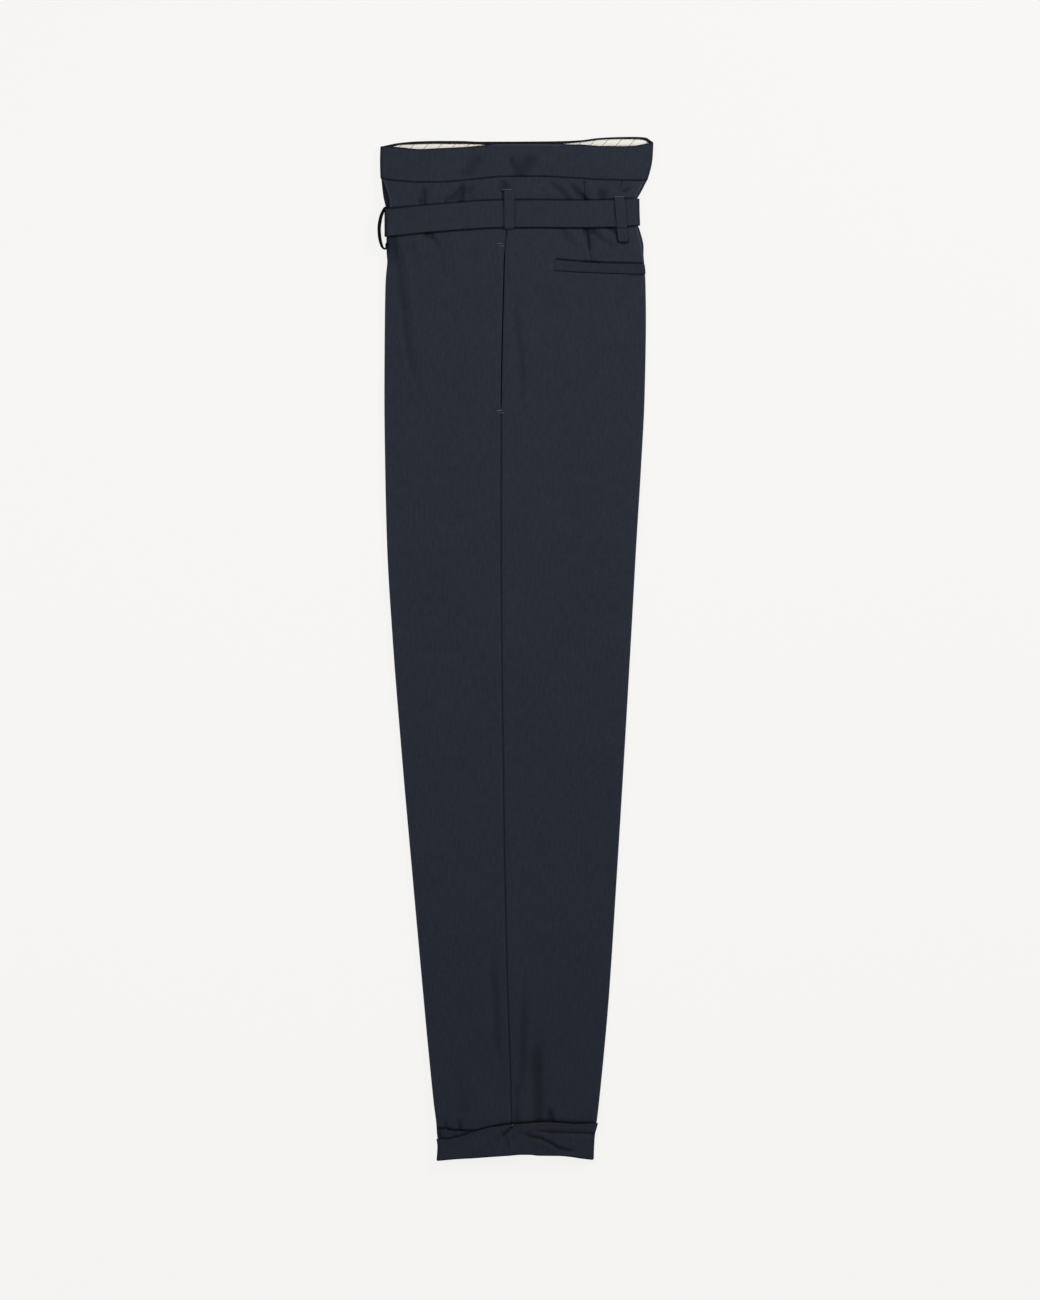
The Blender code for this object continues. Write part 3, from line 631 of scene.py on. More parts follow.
def colour_mix(tree, factor, first, second):
    links = ((0, factor), (6, first), (7, second))
    return add_node(tree, "ShaderNodeMix", links, data_type="RGBA", clamp_factor=True).outputs[2]


def axes(tree, vector):
    """The first two parts of a vector."""
    return add_node(tree, "ShaderNodeSeparateXYZ", [(0, vector)]).outputs[:2]


def noise(tree, cloth, scale, detail):
    """Soft noise over the cloth, scaled evenly or by an amount for each way."""
    if isinstance(scale, tuple):
        cloth = add_node(tree, "ShaderNodeMapping", [(0, cloth), ("Scale", scale)]).outputs[0]
        scale = 1.0
    links = [("Vector", cloth), ("Scale", scale), ("Detail", detail)]
    return add_node(tree, "ShaderNodeTexNoise", links).outputs[0]


def bump(tree, height, strength, distance, *under):
    """A bump, laid over another's normal where one is given."""
    links = [("Height", height), ("Strength", strength), ("Distance", distance)]
    return add_node(tree, "ShaderNodeBump", links + [("Normal", normal) for normal in under]).outputs[0]


def shade(colour, share):
    return tuple(part * share for part in colour[:3]) + (1.0,)


def make_twill():
    """Fine steep twill over the cloth's own map in metres: yarns along it, with a diagonal line."""
    group, inside, outside = new_group(
        "fine_twill",
        [("Cloth", "NodeSocketVector", None), ("Yarn", "NodeSocketFloat", 0.0006)],
        [("Height", "NodeSocketFloat"), ("Fleck", "NodeSocketFloat")],
    )
    do = partial(maths, group)
    across, along = axes(group, inside.outputs["Cloth"])
    turn = do("DIVIDE", 2 * math.pi, inside.outputs["Yarn"])
    warp, weft = do("MULTIPLY", across, turn), do("MULTIPLY", along, turn)
    diagonal = do("SINE", do("ADD", warp, do("MULTIPLY", weft, 0.55)))
    rib = do("SINE", do("MULTIPLY", warp, 2.0))
    fuzz = noise(group, inside.outputs["Cloth"], (2600.0, 900.0, 1.0), 2.0)
    yarns = do("ADD", do("MULTIPLY", diagonal, 0.5), do("MULTIPLY", rib, 0.25))
    connect(group, outside, [("Height", do("ADD", yarns, fuzz)), ("Fleck", fuzz)])
    return group


def make_yarn_tone():
    """Uneven yarns: long faint streaks along the cloth and broad soft patches."""
    group, inside, outside = new_group(
        "yarn_tone",
        [
            ("Cloth", "NodeSocketVector", None),
            ("Streak", "NodeSocketFloat", 0.5),
            ("Patch", "NodeSocketFloat", 0.5),
        ],
        [("Tone", "NodeSocketFloat"), ("Height", "NodeSocketFloat")],
    )
    do = partial(maths, group)
    cloth = inside.outputs["Cloth"]
    streak = noise(group, cloth, (340.0, 80.0, 1.0), 3.0)
    slub = noise(group, cloth, (470.0, 240.0, 1.0), 2.0)
    patch = noise(group, cloth, 14.0, 2.0)
    both = do("ADD", do("MULTIPLY", streak, 0.6), do("MULTIPLY", slub, 0.4))
    fine = do("MULTIPLY", do("SUBTRACT", both, 0.5), inside.outputs["Streak"])
    broad = do("MULTIPLY", do("SUBTRACT", patch, 0.5), inside.outputs["Patch"])
    connect(group, outside, [("Tone", do("ADD", do("ADD", fine, broad), 0.5)), ("Height", both)])
    return group


def make_painted_light():
    """Paints shade into the cloth's colour in its seams and creases, and paints a highlight along its folded
    edges.
    """
    group, inside, outside = new_group(
        "painted_shade_and_highlight",
        [
            ("Colour", "NodeSocketColor", (0.5, 0.5, 0.5, 1.0)),
            ("Painted Shade", "NodeSocketColor", (0.1, 0.1, 0.1, 1.0)),
            ("Painted Highlight", "NodeSocketColor", (0.8, 0.8, 0.8, 1.0)),
        ],
        [("Colour", "NodeSocketColor"), ("Painted Highlight", "NodeSocketFloat")],
    )
    hollow = add_node(group, "ShaderNodeAttribute", attribute_name="hollow").outputs["Fac"]
    painted_highlight = add_node(group, "ShaderNodeAttribute", attribute_name="painted_highlight").outputs["Fac"]
    darker = colour_mix(group, hollow, inside.outputs["Colour"], inside.outputs["Painted Shade"])
    lighter = colour_mix(group, painted_highlight, darker, inside.outputs["Painted Highlight"])
    connect(group, outside, [("Colour", lighter), ("Painted Highlight", painted_highlight)])
    return group


EFFECTS = (make_twill(), make_yarn_tone(), make_painted_light())


def new_material(name):
    made = bpy.data.materials.new(name)
    made.use_nodes = True
    return made, made.node_tree, made.node_tree.nodes["Principled BSDF"]


def cloth_effects(tree, yarn_wide, streak, patch):
    """The cloth's own map, its twill and yarn effects, and the group that paints shade and a highlight into
    its colour.
    """
    cloth = add_node(tree, "ShaderNodeUVMap", uv_map="cloth").outputs[0]
    twill, yarn, painted_light = (add_node(tree, "ShaderNodeGroup", node_tree=effect) for effect in EFFECTS)
    connect(tree, twill, [("Cloth", cloth), ("Yarn", yarn_wide)])
    connect(tree, yarn, [("Cloth", cloth), ("Streak", streak), ("Patch", patch)])
    return cloth, twill, yarn, painted_light


def suiting(name, streak=1.3, patch=0.2, tone=1.0, sheen=0.02, gloss=0.12):
    """Smooth matt wool: twill relief, uneven yarns and a faint sheen."""
    made, tree, shader = new_material(name)
    do = partial(maths, tree)
    _, twill, yarn, painted_light = cloth_effects(tree, YARN, streak, patch)
    dyed = colour_mix(tree, yarn.outputs["Tone"], shade(NAVY, 0.62 * tone), shade(NAVY, 1.38 * tone))
    connect(tree, painted_light, [("Colour", dyed), ("Painted Shade", NAVY_PAINTED_SHADE), ("Painted Highlight", NAVY_PAINTED_HIGHLIGHT)])
    fleck = do("MULTIPLY", twill.outputs["Fleck"], 0.16)
    smoother = do("MULTIPLY", painted_light.outputs["Painted Highlight"], 0.12)
    slubs = bump(tree, yarn.outputs["Height"], 0.35, SLUB_RISE)
    connect(tree, shader, [
        ("Base Color", painted_light.outputs["Colour"]),
        ("Roughness", do("SUBTRACT", do("ADD", fleck, 0.66), smoother)),
        ("Sheen Weight", sheen),
        ("Sheen Roughness", 0.45),
        ("Sheen Tint", (0.55, 0.62, 0.78, 1.0)),
        ("Specular IOR Level", gloss),
        ("Normal", bump(tree, twill.outputs["Height"], 0.5, WEAVE_RISE, slubs)),
    ])
    return made


def lining_cloth(name):
    """Smooth cream lining with thin slanting lines woven in."""
    made, tree, shader = new_material(name)
    do = partial(maths, tree)
    cloth, twill, yarn, painted_light = cloth_effects(tree, LINING_YARN, 0.25, 0.5)
    across, along = axes(tree, cloth)
    slant = do("SUBTRACT", across, do("MULTIPLY", along, LINE_SLANT))
    off_line = do("ABSOLUTE", do("SUBTRACT", do("FRACT", do("DIVIDE", slant, LINE_PITCH)), 0.5))
    line = do("GREATER_THAN", off_line, 0.5 - LINE_WIDE / LINE_PITCH / 2)
    off_row = do("ABSOLUTE", do("SUBTRACT", along, STITCH_ROW))
    row = do("MULTIPLY", do("LESS_THAN", off_row, LINE_WIDE / 2), 0.5)
    marks = do("MAXIMUM", do("MULTIPLY", line, 0.85), row)
    dyed = colour_mix(tree, yarn.outputs["Tone"], shade(CREAM, 0.93), CREAM)
    marked = colour_mix(tree, marks, dyed, CREAM_LINE)
    connect(tree, painted_light, [("Colour", marked), ("Painted Shade", CREAM_PAINTED_SHADE), ("Painted Highlight", CREAM)])
    connect(tree, shader, [
        ("Base Color", painted_light.outputs["Colour"]),
        ("Roughness", do("ADD", do("MULTIPLY", twill.outputs["Fleck"], 0.15), 0.42)),
        ("Sheen Weight", 0.1),
        ("Normal", bump(tree, twill.outputs["Height"], 0.35, LINING_RISE)),
    ])
    return made


def sewing_thread(name):
    """Twisted thread: a fine slanting ply along the piece."""
    made, tree, shader = new_material(name)
    do = partial(maths, tree)
    x, y = axes(tree, add_node(tree, "ShaderNodeTexCoord").outputs["Object"])
    ply = do("SINE", do("MULTIPLY", do("ADD", x, y), PLY_TURN))
    tone = do("ADD", do("MULTIPLY", ply, 0.25), 0.5)
    connect(tree, shader, [
        ("Base Color", colour_mix(tree, tone, shade(THREAD, 0.7), THREAD)),
        ("Roughness", 0.5),
        ("Sheen Weight", 0.2),
        ("Normal", bump(tree, ply, 0.3, PLY_RISE)),
    ])
    return made


SUITING = suiting("navy_suiting")
BELT_CLOTH = suiting("navy_suiting_belt", streak=1.15, patch=0.1, tone=0.98)
# A slightly darker copy of the cloth: painted shade on the back welt for its different slant
WELT_PAINTED_SHADE_CLOTH = suiting("navy_suiting_welt_painted_shade", tone=0.88)
# A much darker copy of the cloth without sheen: painted shade on the front loop's edge-on outer face
PAINTED_SHADE_CLOTH = suiting("navy_suiting_painted_shade", tone=0.25, sheen=0.0, gloss=0.0)
LINING_CLOTH = lining_cloth("cream_lining")
STITCHING = sewing_thread("navy_thread")


# ---- Making pieces ----
def cloth_map(places):
    """How far each column of a grid is across the cloth, and each row along it, in metres."""
    across = np.linalg.norm(np.diff(places, axis=1), axis=2)
    along = np.linalg.norm(np.diff(places, axis=0), axis=2)
    middle_row = across[len(across) // 2]
    middle_column = along[:, along.shape[1] // 2]
    u = np.concatenate([[0.0], np.cumsum(middle_row)]) - middle_row.sum() / 2
    v = np.concatenate([[0.0], np.cumsum(middle_column)])
    return u * MM, v * MM


def finished(name, form, finish, home):
    """An object with one finish, made from a bmesh that isn't needed any more."""
    mesh = bpy.data.meshes.new(name)
    form.to_mesh(mesh)
    form.free()
    mesh.materials.append(finish)
    piece = bpy.data.objects.new(name, mesh)
    home.objects.link(piece)
    return piece


def build_grid(name, places, thick, finish, marks=None, ring=False, round_edge=0.0):
    """A wall of cloth through a grid of places (rows, columns, xyz), closed on itself where ring is set.
    thick is one number or one for each row, and marks gives the painted shade and painted highlight share of
    each place."""
    rows, columns = places.shape[0] - 1, places.shape[1] - 1
    u, v = cloth_map(places)
    grid = bmesh.new()
    bmesh.ops.create_grid(grid, x_segments=columns, y_segments=rows, size=1.0)
    layer = grid.loops.layers.uv.new("cloth")
    hollow = grid.verts.layers.float.new("hollow")
    painted_highlight = grid.verts.layers.float.new("painted_highlight")
    spots = []
    for vertex in grid.verts:
        column = round((vertex.co.x + 1) / 2 * columns)
        row = round((vertex.co.y + 1) / 2 * rows)
        spots.append((row, column))
        vertex.co = places[row, column] * MM
        if marks is not None:
            vertex[hollow] = marks[0][row, column]
            vertex[painted_highlight] = marks[1][row, column]
    for face in grid.faces:
        for loop in face.loops:
            row, column = spots[loop.vert.index]
            loop[layer].uv = (u[column], v[row])
    if ring:
        bmesh.ops.remove_doubles(grid, verts=grid.verts, dist=1e-7)
    bmesh.ops.recalc_face_normals(grid, faces=grid.faces)
    piece = finished(name, grid, finish, garment)
    piece.data.shade_smooth()
    wall = piece.modifiers.new("cloth", "SOLIDIFY")
    wall.thickness = np.max(thick) * MM
    wall.offset = 0.0
    if np.ndim(thick):
        share = piece.vertex_groups.new(name="thickness")
        wall.vertex_group = share.name
        for index, (row, column) in enumerate(spots):
            share.add([index], float(thick[row] / np.max(thick)), "REPLACE")
    if round_edge:
        soft = piece.modifiers.new("rounded_edge", "BEVEL")
        soft.width = round_edge * MM
        soft.segments = 3
        soft.limit_method = "ANGLE"
        soft.angle_limit = math.radians(50)
    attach(piece, "root")
    return piece


def declare(node):
    """Hides the CAD part that the piece stands for."""
    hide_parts(node)


def turns(outer, fold, inner):
    """The turn values of a panel's columns from the places along its outer cloth."""
    return np.concatenate([
        outer / outer[-1],
        np.linspace(1, 2, fold + 1)[1:],
        np.linspace(2, 3, inner + 1)[1:],
    ])


# The painted shade: where it starts and how fast it grows in seams and in creases, and its darkest share
SEAM_SHADE_FROM, SEAM_SHADE_OVER = 0.12, 0.75
CREASE_SHADE_FROM, CREASE_SHADE_OVER = 0.3, 2.4
DARKEST = 0.95


def shade_marks(seams, soft, most=0.5):
    """Painted shade: how much each place is darkened for lying deep in a seam or a crease."""
    in_seam = np.clip((-seams - SEAM_SHADE_FROM) / SEAM_SHADE_OVER, 0.0, 1.0)
    in_crease = np.clip((-soft - CREASE_SHADE_FROM) / CREASE_SHADE_OVER, 0.0, most)
    return np.clip(DARKEST * in_seam + in_crease, 0.0, DARKEST)


Cut = namedtuple("Cut", "width length area")
SEAM_COLUMNS = ((0.9, 0.3), (2.4, 0.5))
UPPER_COLUMNS = {
    FRONT: stretches(0, *SEAM_COLUMNS, (122, 1.7), (126, 1.0)),
    BACK: stretches(0, *SEAM_COLUMNS, (78, 1.9), (90, 0.6), (116, 1.8), (122, 0.7), (138, 1.6)),
}
LOWER_COLUMNS = {
    FRONT: stretches(0, *SEAM_COLUMNS, (126, 3.0)),
    BACK: stretches(0, *SEAM_COLUMNS, (138, 3.0)),
}
UPPER_ROWS = stretches(
    HEM + CUFF_FOLD, (-512, 5), (-498, 0.8), (-478, 2.4), (240, 8), (396, 2.8), (415, 0.8), (436, 1.8),
    (443, 0.6), (469.5, 4.5), (474, 0.6), (496, 1.8), (BAND_SEAM - SEAM_GAP / 2, 0.4),
)
LOWER_ROWS = stretches(
    HEM + CUFF_FOLD, (-498, 6), (-478, 3), (240, 16), (396, 6), (496, 3), (BAND_SEAM - SEAM_GAP / 2, 0.5),
)


def panel(name, side, face):
    """One leg's front or back, from the hem up to the waist seam."""
    outer = (UPPER_COLUMNS if side == UPPER else LOWER_COLUMNS)[face]
    turn = turns(outer, 10, 12)[None, :]
    rows = (UPPER_ROWS if side == UPPER else LOWER_ROWS)[:, None]
    places = point(side, face, turn, rows, relief=panel_relief)
    x, level = places[:, :, 0], rows + 0 * turn
    outside = turn <= 1.05
    # Painted shade deep in the seams and creases of the outer cloth
    hollow = shade_marks(panel_seams(side, x, level) * outside, panel_soft(side, x, level) * outside)
    # A painted highlight just round the fold, most where the back fold is free of the band and the belt
    free = ramp(469, 475, level) * ramp(500, 497, level)
    under_belt = 0.4 * ramp(443, 436, level) * ramp(380, 420, level)
    painted_highlight = 0.3 + (0.5 * free + under_belt if face == BACK else -0.3 * free)
    painted_highlight = painted_highlight * near_line(turn - 1.2, 0.13)
    # On the front, painted shade on the lower layer where it shows in front of the upper layer's fold and the
    # pleat's edge, and a painted highlight along the fold's edge
    if side == UPPER and face == FRONT:
        behind, gap = front_fold(x, places[:, :, 1])
        step = pleat_fold(x, places[:, :, 1])
        hollow = np.maximum(hollow, (0.9 * behind + 0.62 * step) * (turn < 2))
        painted_highlight = painted_highlight * (1 - step) + 0.55 * near_line(gap - 0.5, 0.55) * free
    piece = build_grid(name, places, CLOTH, SUITING, (np.clip(hollow, 0, DARKEST), painted_highlight))
    declare(name)


def half_ring(side, rows, out, outer, fold, relief):
    """Places over one half of the waist, from the front fold to the back fold."""
    turn = turns(outer, fold, fold)
    front = point(side, FRONT, turn[None, ::-1], rows, out, relief)
    back = point(side, BACK, turn[None, 1:], rows, out, relief)
    return np.concatenate([front, back], axis=1)


BAND_COLUMNS = stretches(0, (2, 0.7), (140, 2.2))
RIM_ROLL = 0.95
# Pairs of x and how far the band's upper edge is turned down inside there
RIM_TURNING = (
    (-143, 1.6), (-135, 2.6), (-129, 1.5), (-123, 0.9), (-110, 1.7), (-59, 1.9), (-37, 1.5), (-26, 3.0),
    (45, 3.0), (53, 1.4), (68, 0.8), (96, 0.7), (132, 1.2), (137, 1.7), (141, 3.0), (145, 3.0),
)


def waistband(name, side):
    """The band, its upper edge rolled over and turned a little way down inside."""
    top = RIM - RIM_ROLL
    levels = stretches(BAND_SEAM + SEAM_GAP / 2, (BAND_SEAM + 3, 0.45), (top - 1, 2.0), (top, 1))
    up = half_ring(side, levels[:, None], 0.0, BAND_COLUMNS, 8, band_relief)
    parts = [up]
    for angle in np.radians([30, 60, 90, 120, 150, 180]):
        out = -RIM_ROLL * (1 - math.cos(angle))
        edge = half_ring(side, np.array([[top]]), out, BAND_COLUMNS, 8, band_relief)
        edge[:, :, 1] += RIM_ROLL * math.sin(angle)
        parts.append(edge)
    rolled_in = parts[-1]
    for share in (0.5, 1.0):
        edge = rolled_in.copy()
        edge[:, :, 1] -= line_at(RIM_TURNING, edge[:, :, 0]) * share
        parts.append(edge)
    places = np.concatenate(parts, axis=0)
    x, level = up[:, :, 0], levels[:, None] + 0 * up[:, :, 0]
    # Painted shade in the band's seam and creases, and from the top of the rolled rim over to the part turned
    # down inside
    hollow = np.zeros(places.shape[:2])
    hollow[:len(levels)] = shade_marks(band_seams(x, level), band_soft(side, x, level), 0.45)
    hollow[len(levels) + 2:] = 0.8
    painted_highlight = 0.0 * hollow
    # On the upper side, a painted highlight on the outer face of the rolled rim along its middle, and painted
    # shade there towards both ends
    rim = slice(len(levels) - 1, len(levels) + 2)
    middle = ramp(-34, -20, places[rim, :, 0]) * ramp(56, 44, places[rim, :, 0])
    if side == UPPER:
        painted_highlight[rim] = 0.35 * middle
        hollow[rim] = 0.5 * (1 - middle)
    piece = build_grid(name, places, CLOTH * 0.8, SUITING, (hollow, painted_highlight))
    declare(name)


def waistband_lining(name, side):
    """The lining just inside the band, short of its edges."""
    levels = stretches(BAND_SEAM + LINING_DROP, (RIM - RIM_ROLL - 0.3, 3.0))
    out = -(CLOTH / 2 + 0.4 + LINING / 2)
    places = half_ring(side, levels[:, None], out, BAND_COLUMNS, 8, lining_relief)
    piece = build_grid(name, places, LINING, LINING_CLOTH)
    declare(name)


Loop = namedtuple("Loop", "name side head_x head foot_x foot")
LOOPS = (
    Loop("belt_loop_side_left", UPPER, -7.4, 488.3, -7.0, 445.2),
    Loop("belt_loop_side_right", LOWER, -8.2, 488.3, -8.2, 443.2),
    Loop("belt_loop_back_left", UPPER, 109.4, 480.6, 113.6, 432.4),
    Loop("belt_loop_back_right", LOWER, 109.4, 480.6, 113.6, 433.0),
    Loop("belt_loop_front_right", LOWER, -104.0, 481.0, -104.0, 430.5),
)
LOOP_WIDE = 10.8
LOOP_THICK = 1.0
LOOP_EASE = 2.4


def belt():
    """A flat ring through the loops, from the front fold over the upper side and back under the garment."""
    levels = stretches(BELT_LOW, (BELT_LOW + 2, 0.7), (BELT_TOP - 2, 2.2), (BELT_TOP, 0.7))[:, None]
    columns = stretches(0, (140, 2.6))
    upper = half_ring(UPPER, levels, ON_BELT, columns, 8, belt_relief)
    lower = half_ring(LOWER, levels, ON_BELT, columns, 8, belt_relief)[:, ::-1]
    front_tip, back_tip = (upper[:, :1] + lower[:, -1:]) / 2, (upper[:, -1:] + lower[:, :1]) / 2
    ring = np.concatenate([front_tip, upper[:, 1:-1], back_tip, lower[:, 1:-1], front_tip], axis=1)
    ring[:, :, 0] += BACK_EASE * ramp(120, 128, ring[:, :, 0])
    x, y = ring[:, :, 0], ring[:, :, 1]
    # Painted shade along both edges of the belt, and a painted shadow on the belt beside each upper loop,
    # stronger on the loop's left
    from_edge = np.minimum(levels - BELT_LOW, BELT_TOP - levels)
    hollow = 0.7 * ramp(1.1, 0.0, from_edge) + 0 * x
    on_top = np.arange(x.shape[1]) < len(upper[0])
    for loop in (loop for loop in LOOPS if loop.side == UPPER):
        middle = loop.head_x + (loop.foot_x - loop.head_x) * (loop.head - y) / (loop.head - loop.foot)
        beside = np.abs(x - middle) - LOOP_WIDE / 2
        hollow = np.maximum(hollow, np.where(x < middle, 0.75, 0.35) * near_line(beside - 0.3, 1.0) * on_top)
    piece = build_grid("belt", ring, BELT_THICK, BELT_CLOTH, (hollow, 0 * x), ring=True, round_edge=0.55)
    declare("belt")


def belt_loop(loop):
    """A folded strip sewn down above the belt, over it, and sewn down again below it."""
    belt_y = float(top_line("belt", np.array(loop.head_x)))
    belt_top, belt_low = belt_y + BELT_WIDE / 2, belt_y - BELT_WIDE / 2
    runs = sorted({loop.foot, belt_low - LOOP_EASE, belt_low, belt_top, belt_top + LOOP_EASE, loop.head})
    runs = [r for r in runs if loop.foot <= r <= loop.head]
    down = stretches(runs[0], *((end, 0.9) for end in runs[1:]))
    share = (loop.head - down) / (loop.head - loop.foot)
    middle = loop.head_x + (loop.foot_x - loop.head_x) * share
    over = ramp(belt_top + LOOP_EASE, belt_top + 0.4, down) * ramp(belt_low - LOOP_EASE, belt_low - 0.4, down)
    out = ON_CLOTH + (OVER_BELT - ON_CLOTH) * over
    across = np.linspace(-1, 1, 11)
    rounded = np.where(down - down[0] < 3.0, (3.0 - (down - down[0])) / 3.0, 0.0) ** 2
    x = middle[:, None] + across[None, :] * (LOOP_WIDE / 2 - 1.2 * rounded[:, None])
    crown = (0.22 if loop.side == UPPER else 0.02) * (1 - across**4)[None, :]
    seam = -0.25 * near_line(loop.head - down - 1.6, 0.7)
    places = spot(loop.side, x, down[:, None] + 0 * x, out[:, None] + crown + seam[:, None])
    piece = build_grid(loop.name, places, LOOP_THICK, BELT_CLOTH, round_edge=0.35)
    declare(loop.name)


EdgeLoop = namedtuple("EdgeLoop", "x y thick")
EDGE_LOOP = (
    EdgeLoop(-136.6, 468.3, 2.2),
    EdgeLoop(-138.9, 468.4, 2.2),
    EdgeLoop(-140.8, 465.4, 2.6),
    EdgeLoop(-143.2, 459.5, 3.1),
    EdgeLoop(-144.8, 451.5, 3.4),
    EdgeLoop(-145.2, 445.4, 3.4),
    EdgeLoop(-144.5, 436.3, 3.4),
    EdgeLoop(-142.6, 428.8, 2.9),
    EdgeLoop(-140.4, 425.6, 1.7),
    EdgeLoop(-138.2, 425.5, 1.5),
    EdgeLoop(-137.2, 428.2, 3.0),
    EdgeLoop(-137.0, 431.0, 2.6),
)


def rounded_path(points, count):
    """Evenly placed points on a smooth curve through a few points."""
    points = np.array(points, float)
    padded = np.concatenate([[2 * points[0] - points[1]], points, [2 * points[-1] - points[-2]]])
    t = np.linspace(0, 1, 12, endpoint=False)[:, None]
    found = []
    for a, b, c, d in zip(padded, padded[1:], padded[2:], padded[3:]):
        bent = (2 * a - 5 * b + 4 * c - d) * t**2 + (3 * b - a - 3 * c + d) * t**3
        found.append(0.5 * (2 * b + (c - a) * t + bent))
    found = np.concatenate(found + [points[-1:]])
    gone = np.concatenate([[0], np.cumsum(np.linalg.norm(np.diff(found[:, :2], axis=0), axis=1))])
    even = np.linspace(0, gone[-1], count)
    return np.stack([np.interp(even, gone, column) for column in found.T], axis=-1)


def edge_loop():
    """The front loop: it stands on edge off the fold, and its outer face is given painted shade by a much
    darker copy of the cloth.
    """
    x, y, thick = (column[:, None] for column in rounded_path(EDGE_LOOP, 48).T)
    middle = section("lift", y) + section("edge", y) / 2 + CLOTH / 2
    z = middle + LOOP_WIDE * np.linspace(-0.5, 0.5, 9)[None, :]
    places = np.stack([x + 0 * z, y + 0 * z, z], axis=-1)
    piece = build_grid("belt_loop_front_left", places, thick[:, 0], PAINTED_SHADE_CLOTH)
    declare("belt_loop_front_left")


FACING_WIDE, FACING_DROP = 18.0, 2.3


def pocket_facing(name, side):
    """The strip behind a side pocket's mouth."""
    levels = stretches(POCKET_LOW - 2, (POCKET_TOP + 2, 6))
    x = section("side", levels)[:, None] + np.linspace(-FACING_WIDE / 2, FACING_WIDE / 2, 5)[None, :]
    level = levels[:, None] + 0 * x
    z = outer_height(side, x, level) - side * FACING_DROP
    places = np.stack([x, length_at(side, level, x), z], axis=-1)
    # Painted shade over the whole facing, which lies down in the pocket's slit
    deep = np.full(places.shape[:2], 0.9)
    piece = build_grid(name, places, CLOTH, SUITING, (deep, 0 * deep))
    declare(name)


def back_welt(name, side):
    """The strip that edges a back pocket, running to the fold and just round it."""
    share = np.concatenate([np.linspace(0, 1, 60), np.linspace(1, WELT_REACH, 10)[1:]])[None, :]
    across = np.linspace(0, 1, 13)[:, None]
    x = WELT_START + (WELT_END - WELT_START) * np.minimum(share, 1.0)
    high, low = line_at(WELT_TOP, x), line_at(WELT_LOW, x)
    y = low + (high - low) * across
    level = level_at(side, x + 0 * y, y)
    bend = (section("edge", level) - section("layer", level)) / 4
    start_x = section("side", level) + seam_gape(level) / 2
    turn = (WELT_START - start_x) / (section("back", level) - CLOTH / 2 - bend - start_x)
    turn = np.where(share <= 1, turn + (1 - turn) * share, share)
    crown = 0.55 + 0.28 * (1 - (2 * across - 1) ** 6)
    places = point(side, BACK, turn, level, crown if side == UPPER else 0.45)
    piece = build_grid(name, places, WELT_THICK, WELT_PAINTED_SHADE_CLOTH, round_edge=0.22)
    declare(name)


# Pairs of (x, y) along the turn-up's upper edge, which has slipped down at the front
CUFF_EDGE = (
    (-84, -519.4), (-72, -519.6), (-62, -517.2), (-50, -513.6), (-40, -510.2), (-28, -506.6), (-3, -503.6),
    (18, -501.8), (32, -501.0), (46, -502.2), (60, -503.4), (72, -502.8), (84, -502.4),
)
CUFF_COLUMNS = stretches(0, (80, 1.5))
TURNING_STANDS, TURNING_THICK, TURNING_TUCKED = 0.55, 0.7, 6.0


def cuff_rows(side, face, turn, steps):
    """Rows of a turn-up, from just above its roll up to its upper edge, which stands off the leg."""
    low = HEM + CUFF_FOLD
    foot = point(side, face, turn, low, ON_CLOTH, cuff_relief)
    top = line_at(CUFF_EDGE, foot[:, 0])
    stand = (0.5 if side == UPPER else 0.1) * ramp(1.0, 0.9, turn)
    rows = []
    for share in steps:
        level = low + (top - foot[:, 1]) * share
        row = point(side, face, turn, level, ON_CLOTH + stand * share**6, cuff_relief)
        row[:, 1] = foot[:, 1] + (top - foot[:, 1]) * share
        rows.append(row)
    return rows


def cuff_roll(side, face, turn):
    """The lower edge, rolled in under the leg's hem."""
    rows = []
    for angle in np.radians([100, 75, 50, 25]):
        row = point(side, face, turn, HEM + CUFF_FOLD, ON_CLOTH * math.cos(angle), cuff_relief)
        row[:, 1] -= CUFF_FOLD * math.sin(angle)
        rows.append(row)
    return rows


def around_leg(make):
    """Rows joined round the leg, from the front of the side seam round to it again."""
    turn = turns(CUFF_COLUMNS, 10, 14)
    front, back = np.array(make(FRONT, turn)), np.array(make(BACK, turn))
    return np.concatenate([front, back[:, -2::-1], front[:, :1]], axis=1)


def cuff(name, side):
    """The turn-up, in one piece round the leg."""
    steps = stretches(0, (0.9, 0.055), (1.0, 0.03))
    places = around_leg(lambda face, turn: cuff_roll(side, face, turn) + cuff_rows(side, face, turn, steps))
    x, y, z = np.moveaxis(places, -1, 0)
    level = level_at(side, x, y)
    # Painted shade in the creases of the turn-up's outer face
    upper_skin = z > middle_height(x, level) + 2.0
    hollow = np.clip(-(cuff_relief(side, x, level) + 0.25) / 1.1, 0.0, 0.85) * upper_skin
    piece = build_grid(name, places, CLOTH, SUITING, (hollow, 0.0 * hollow), ring=True)
    declare(name)


def cuff_turning():
    """The raw edge turned in behind the turn-up, which shows where the outer layer has slipped down."""
    x = stretches(-79.5, (-34, 1.5))[None, :]
    edge, high = line_at(CUFF_EDGE, x), hem_line("cuff_top", x) + 0.3
    low = edge - TURNING_TUCKED
    y = low + (high - low) * np.linspace(0, 1, 9)[:, None]
    x = x + 0 * y
    level = level_at(UPPER, x, y)
    places = np.stack([x, y, outer_height(UPPER, x, level) + TURNING_STANDS], axis=-1)
    # Painted shade over the strip, darkest just above the turn-up's edge
    hollow = 0.2 + 0.78 * ramp(3.6, 1.9, y - edge)
    marks = hollow, 0 * hollow
    piece = build_grid("cuff_turning_left", places, TURNING_THICK, SUITING, marks, round_edge=0.2)


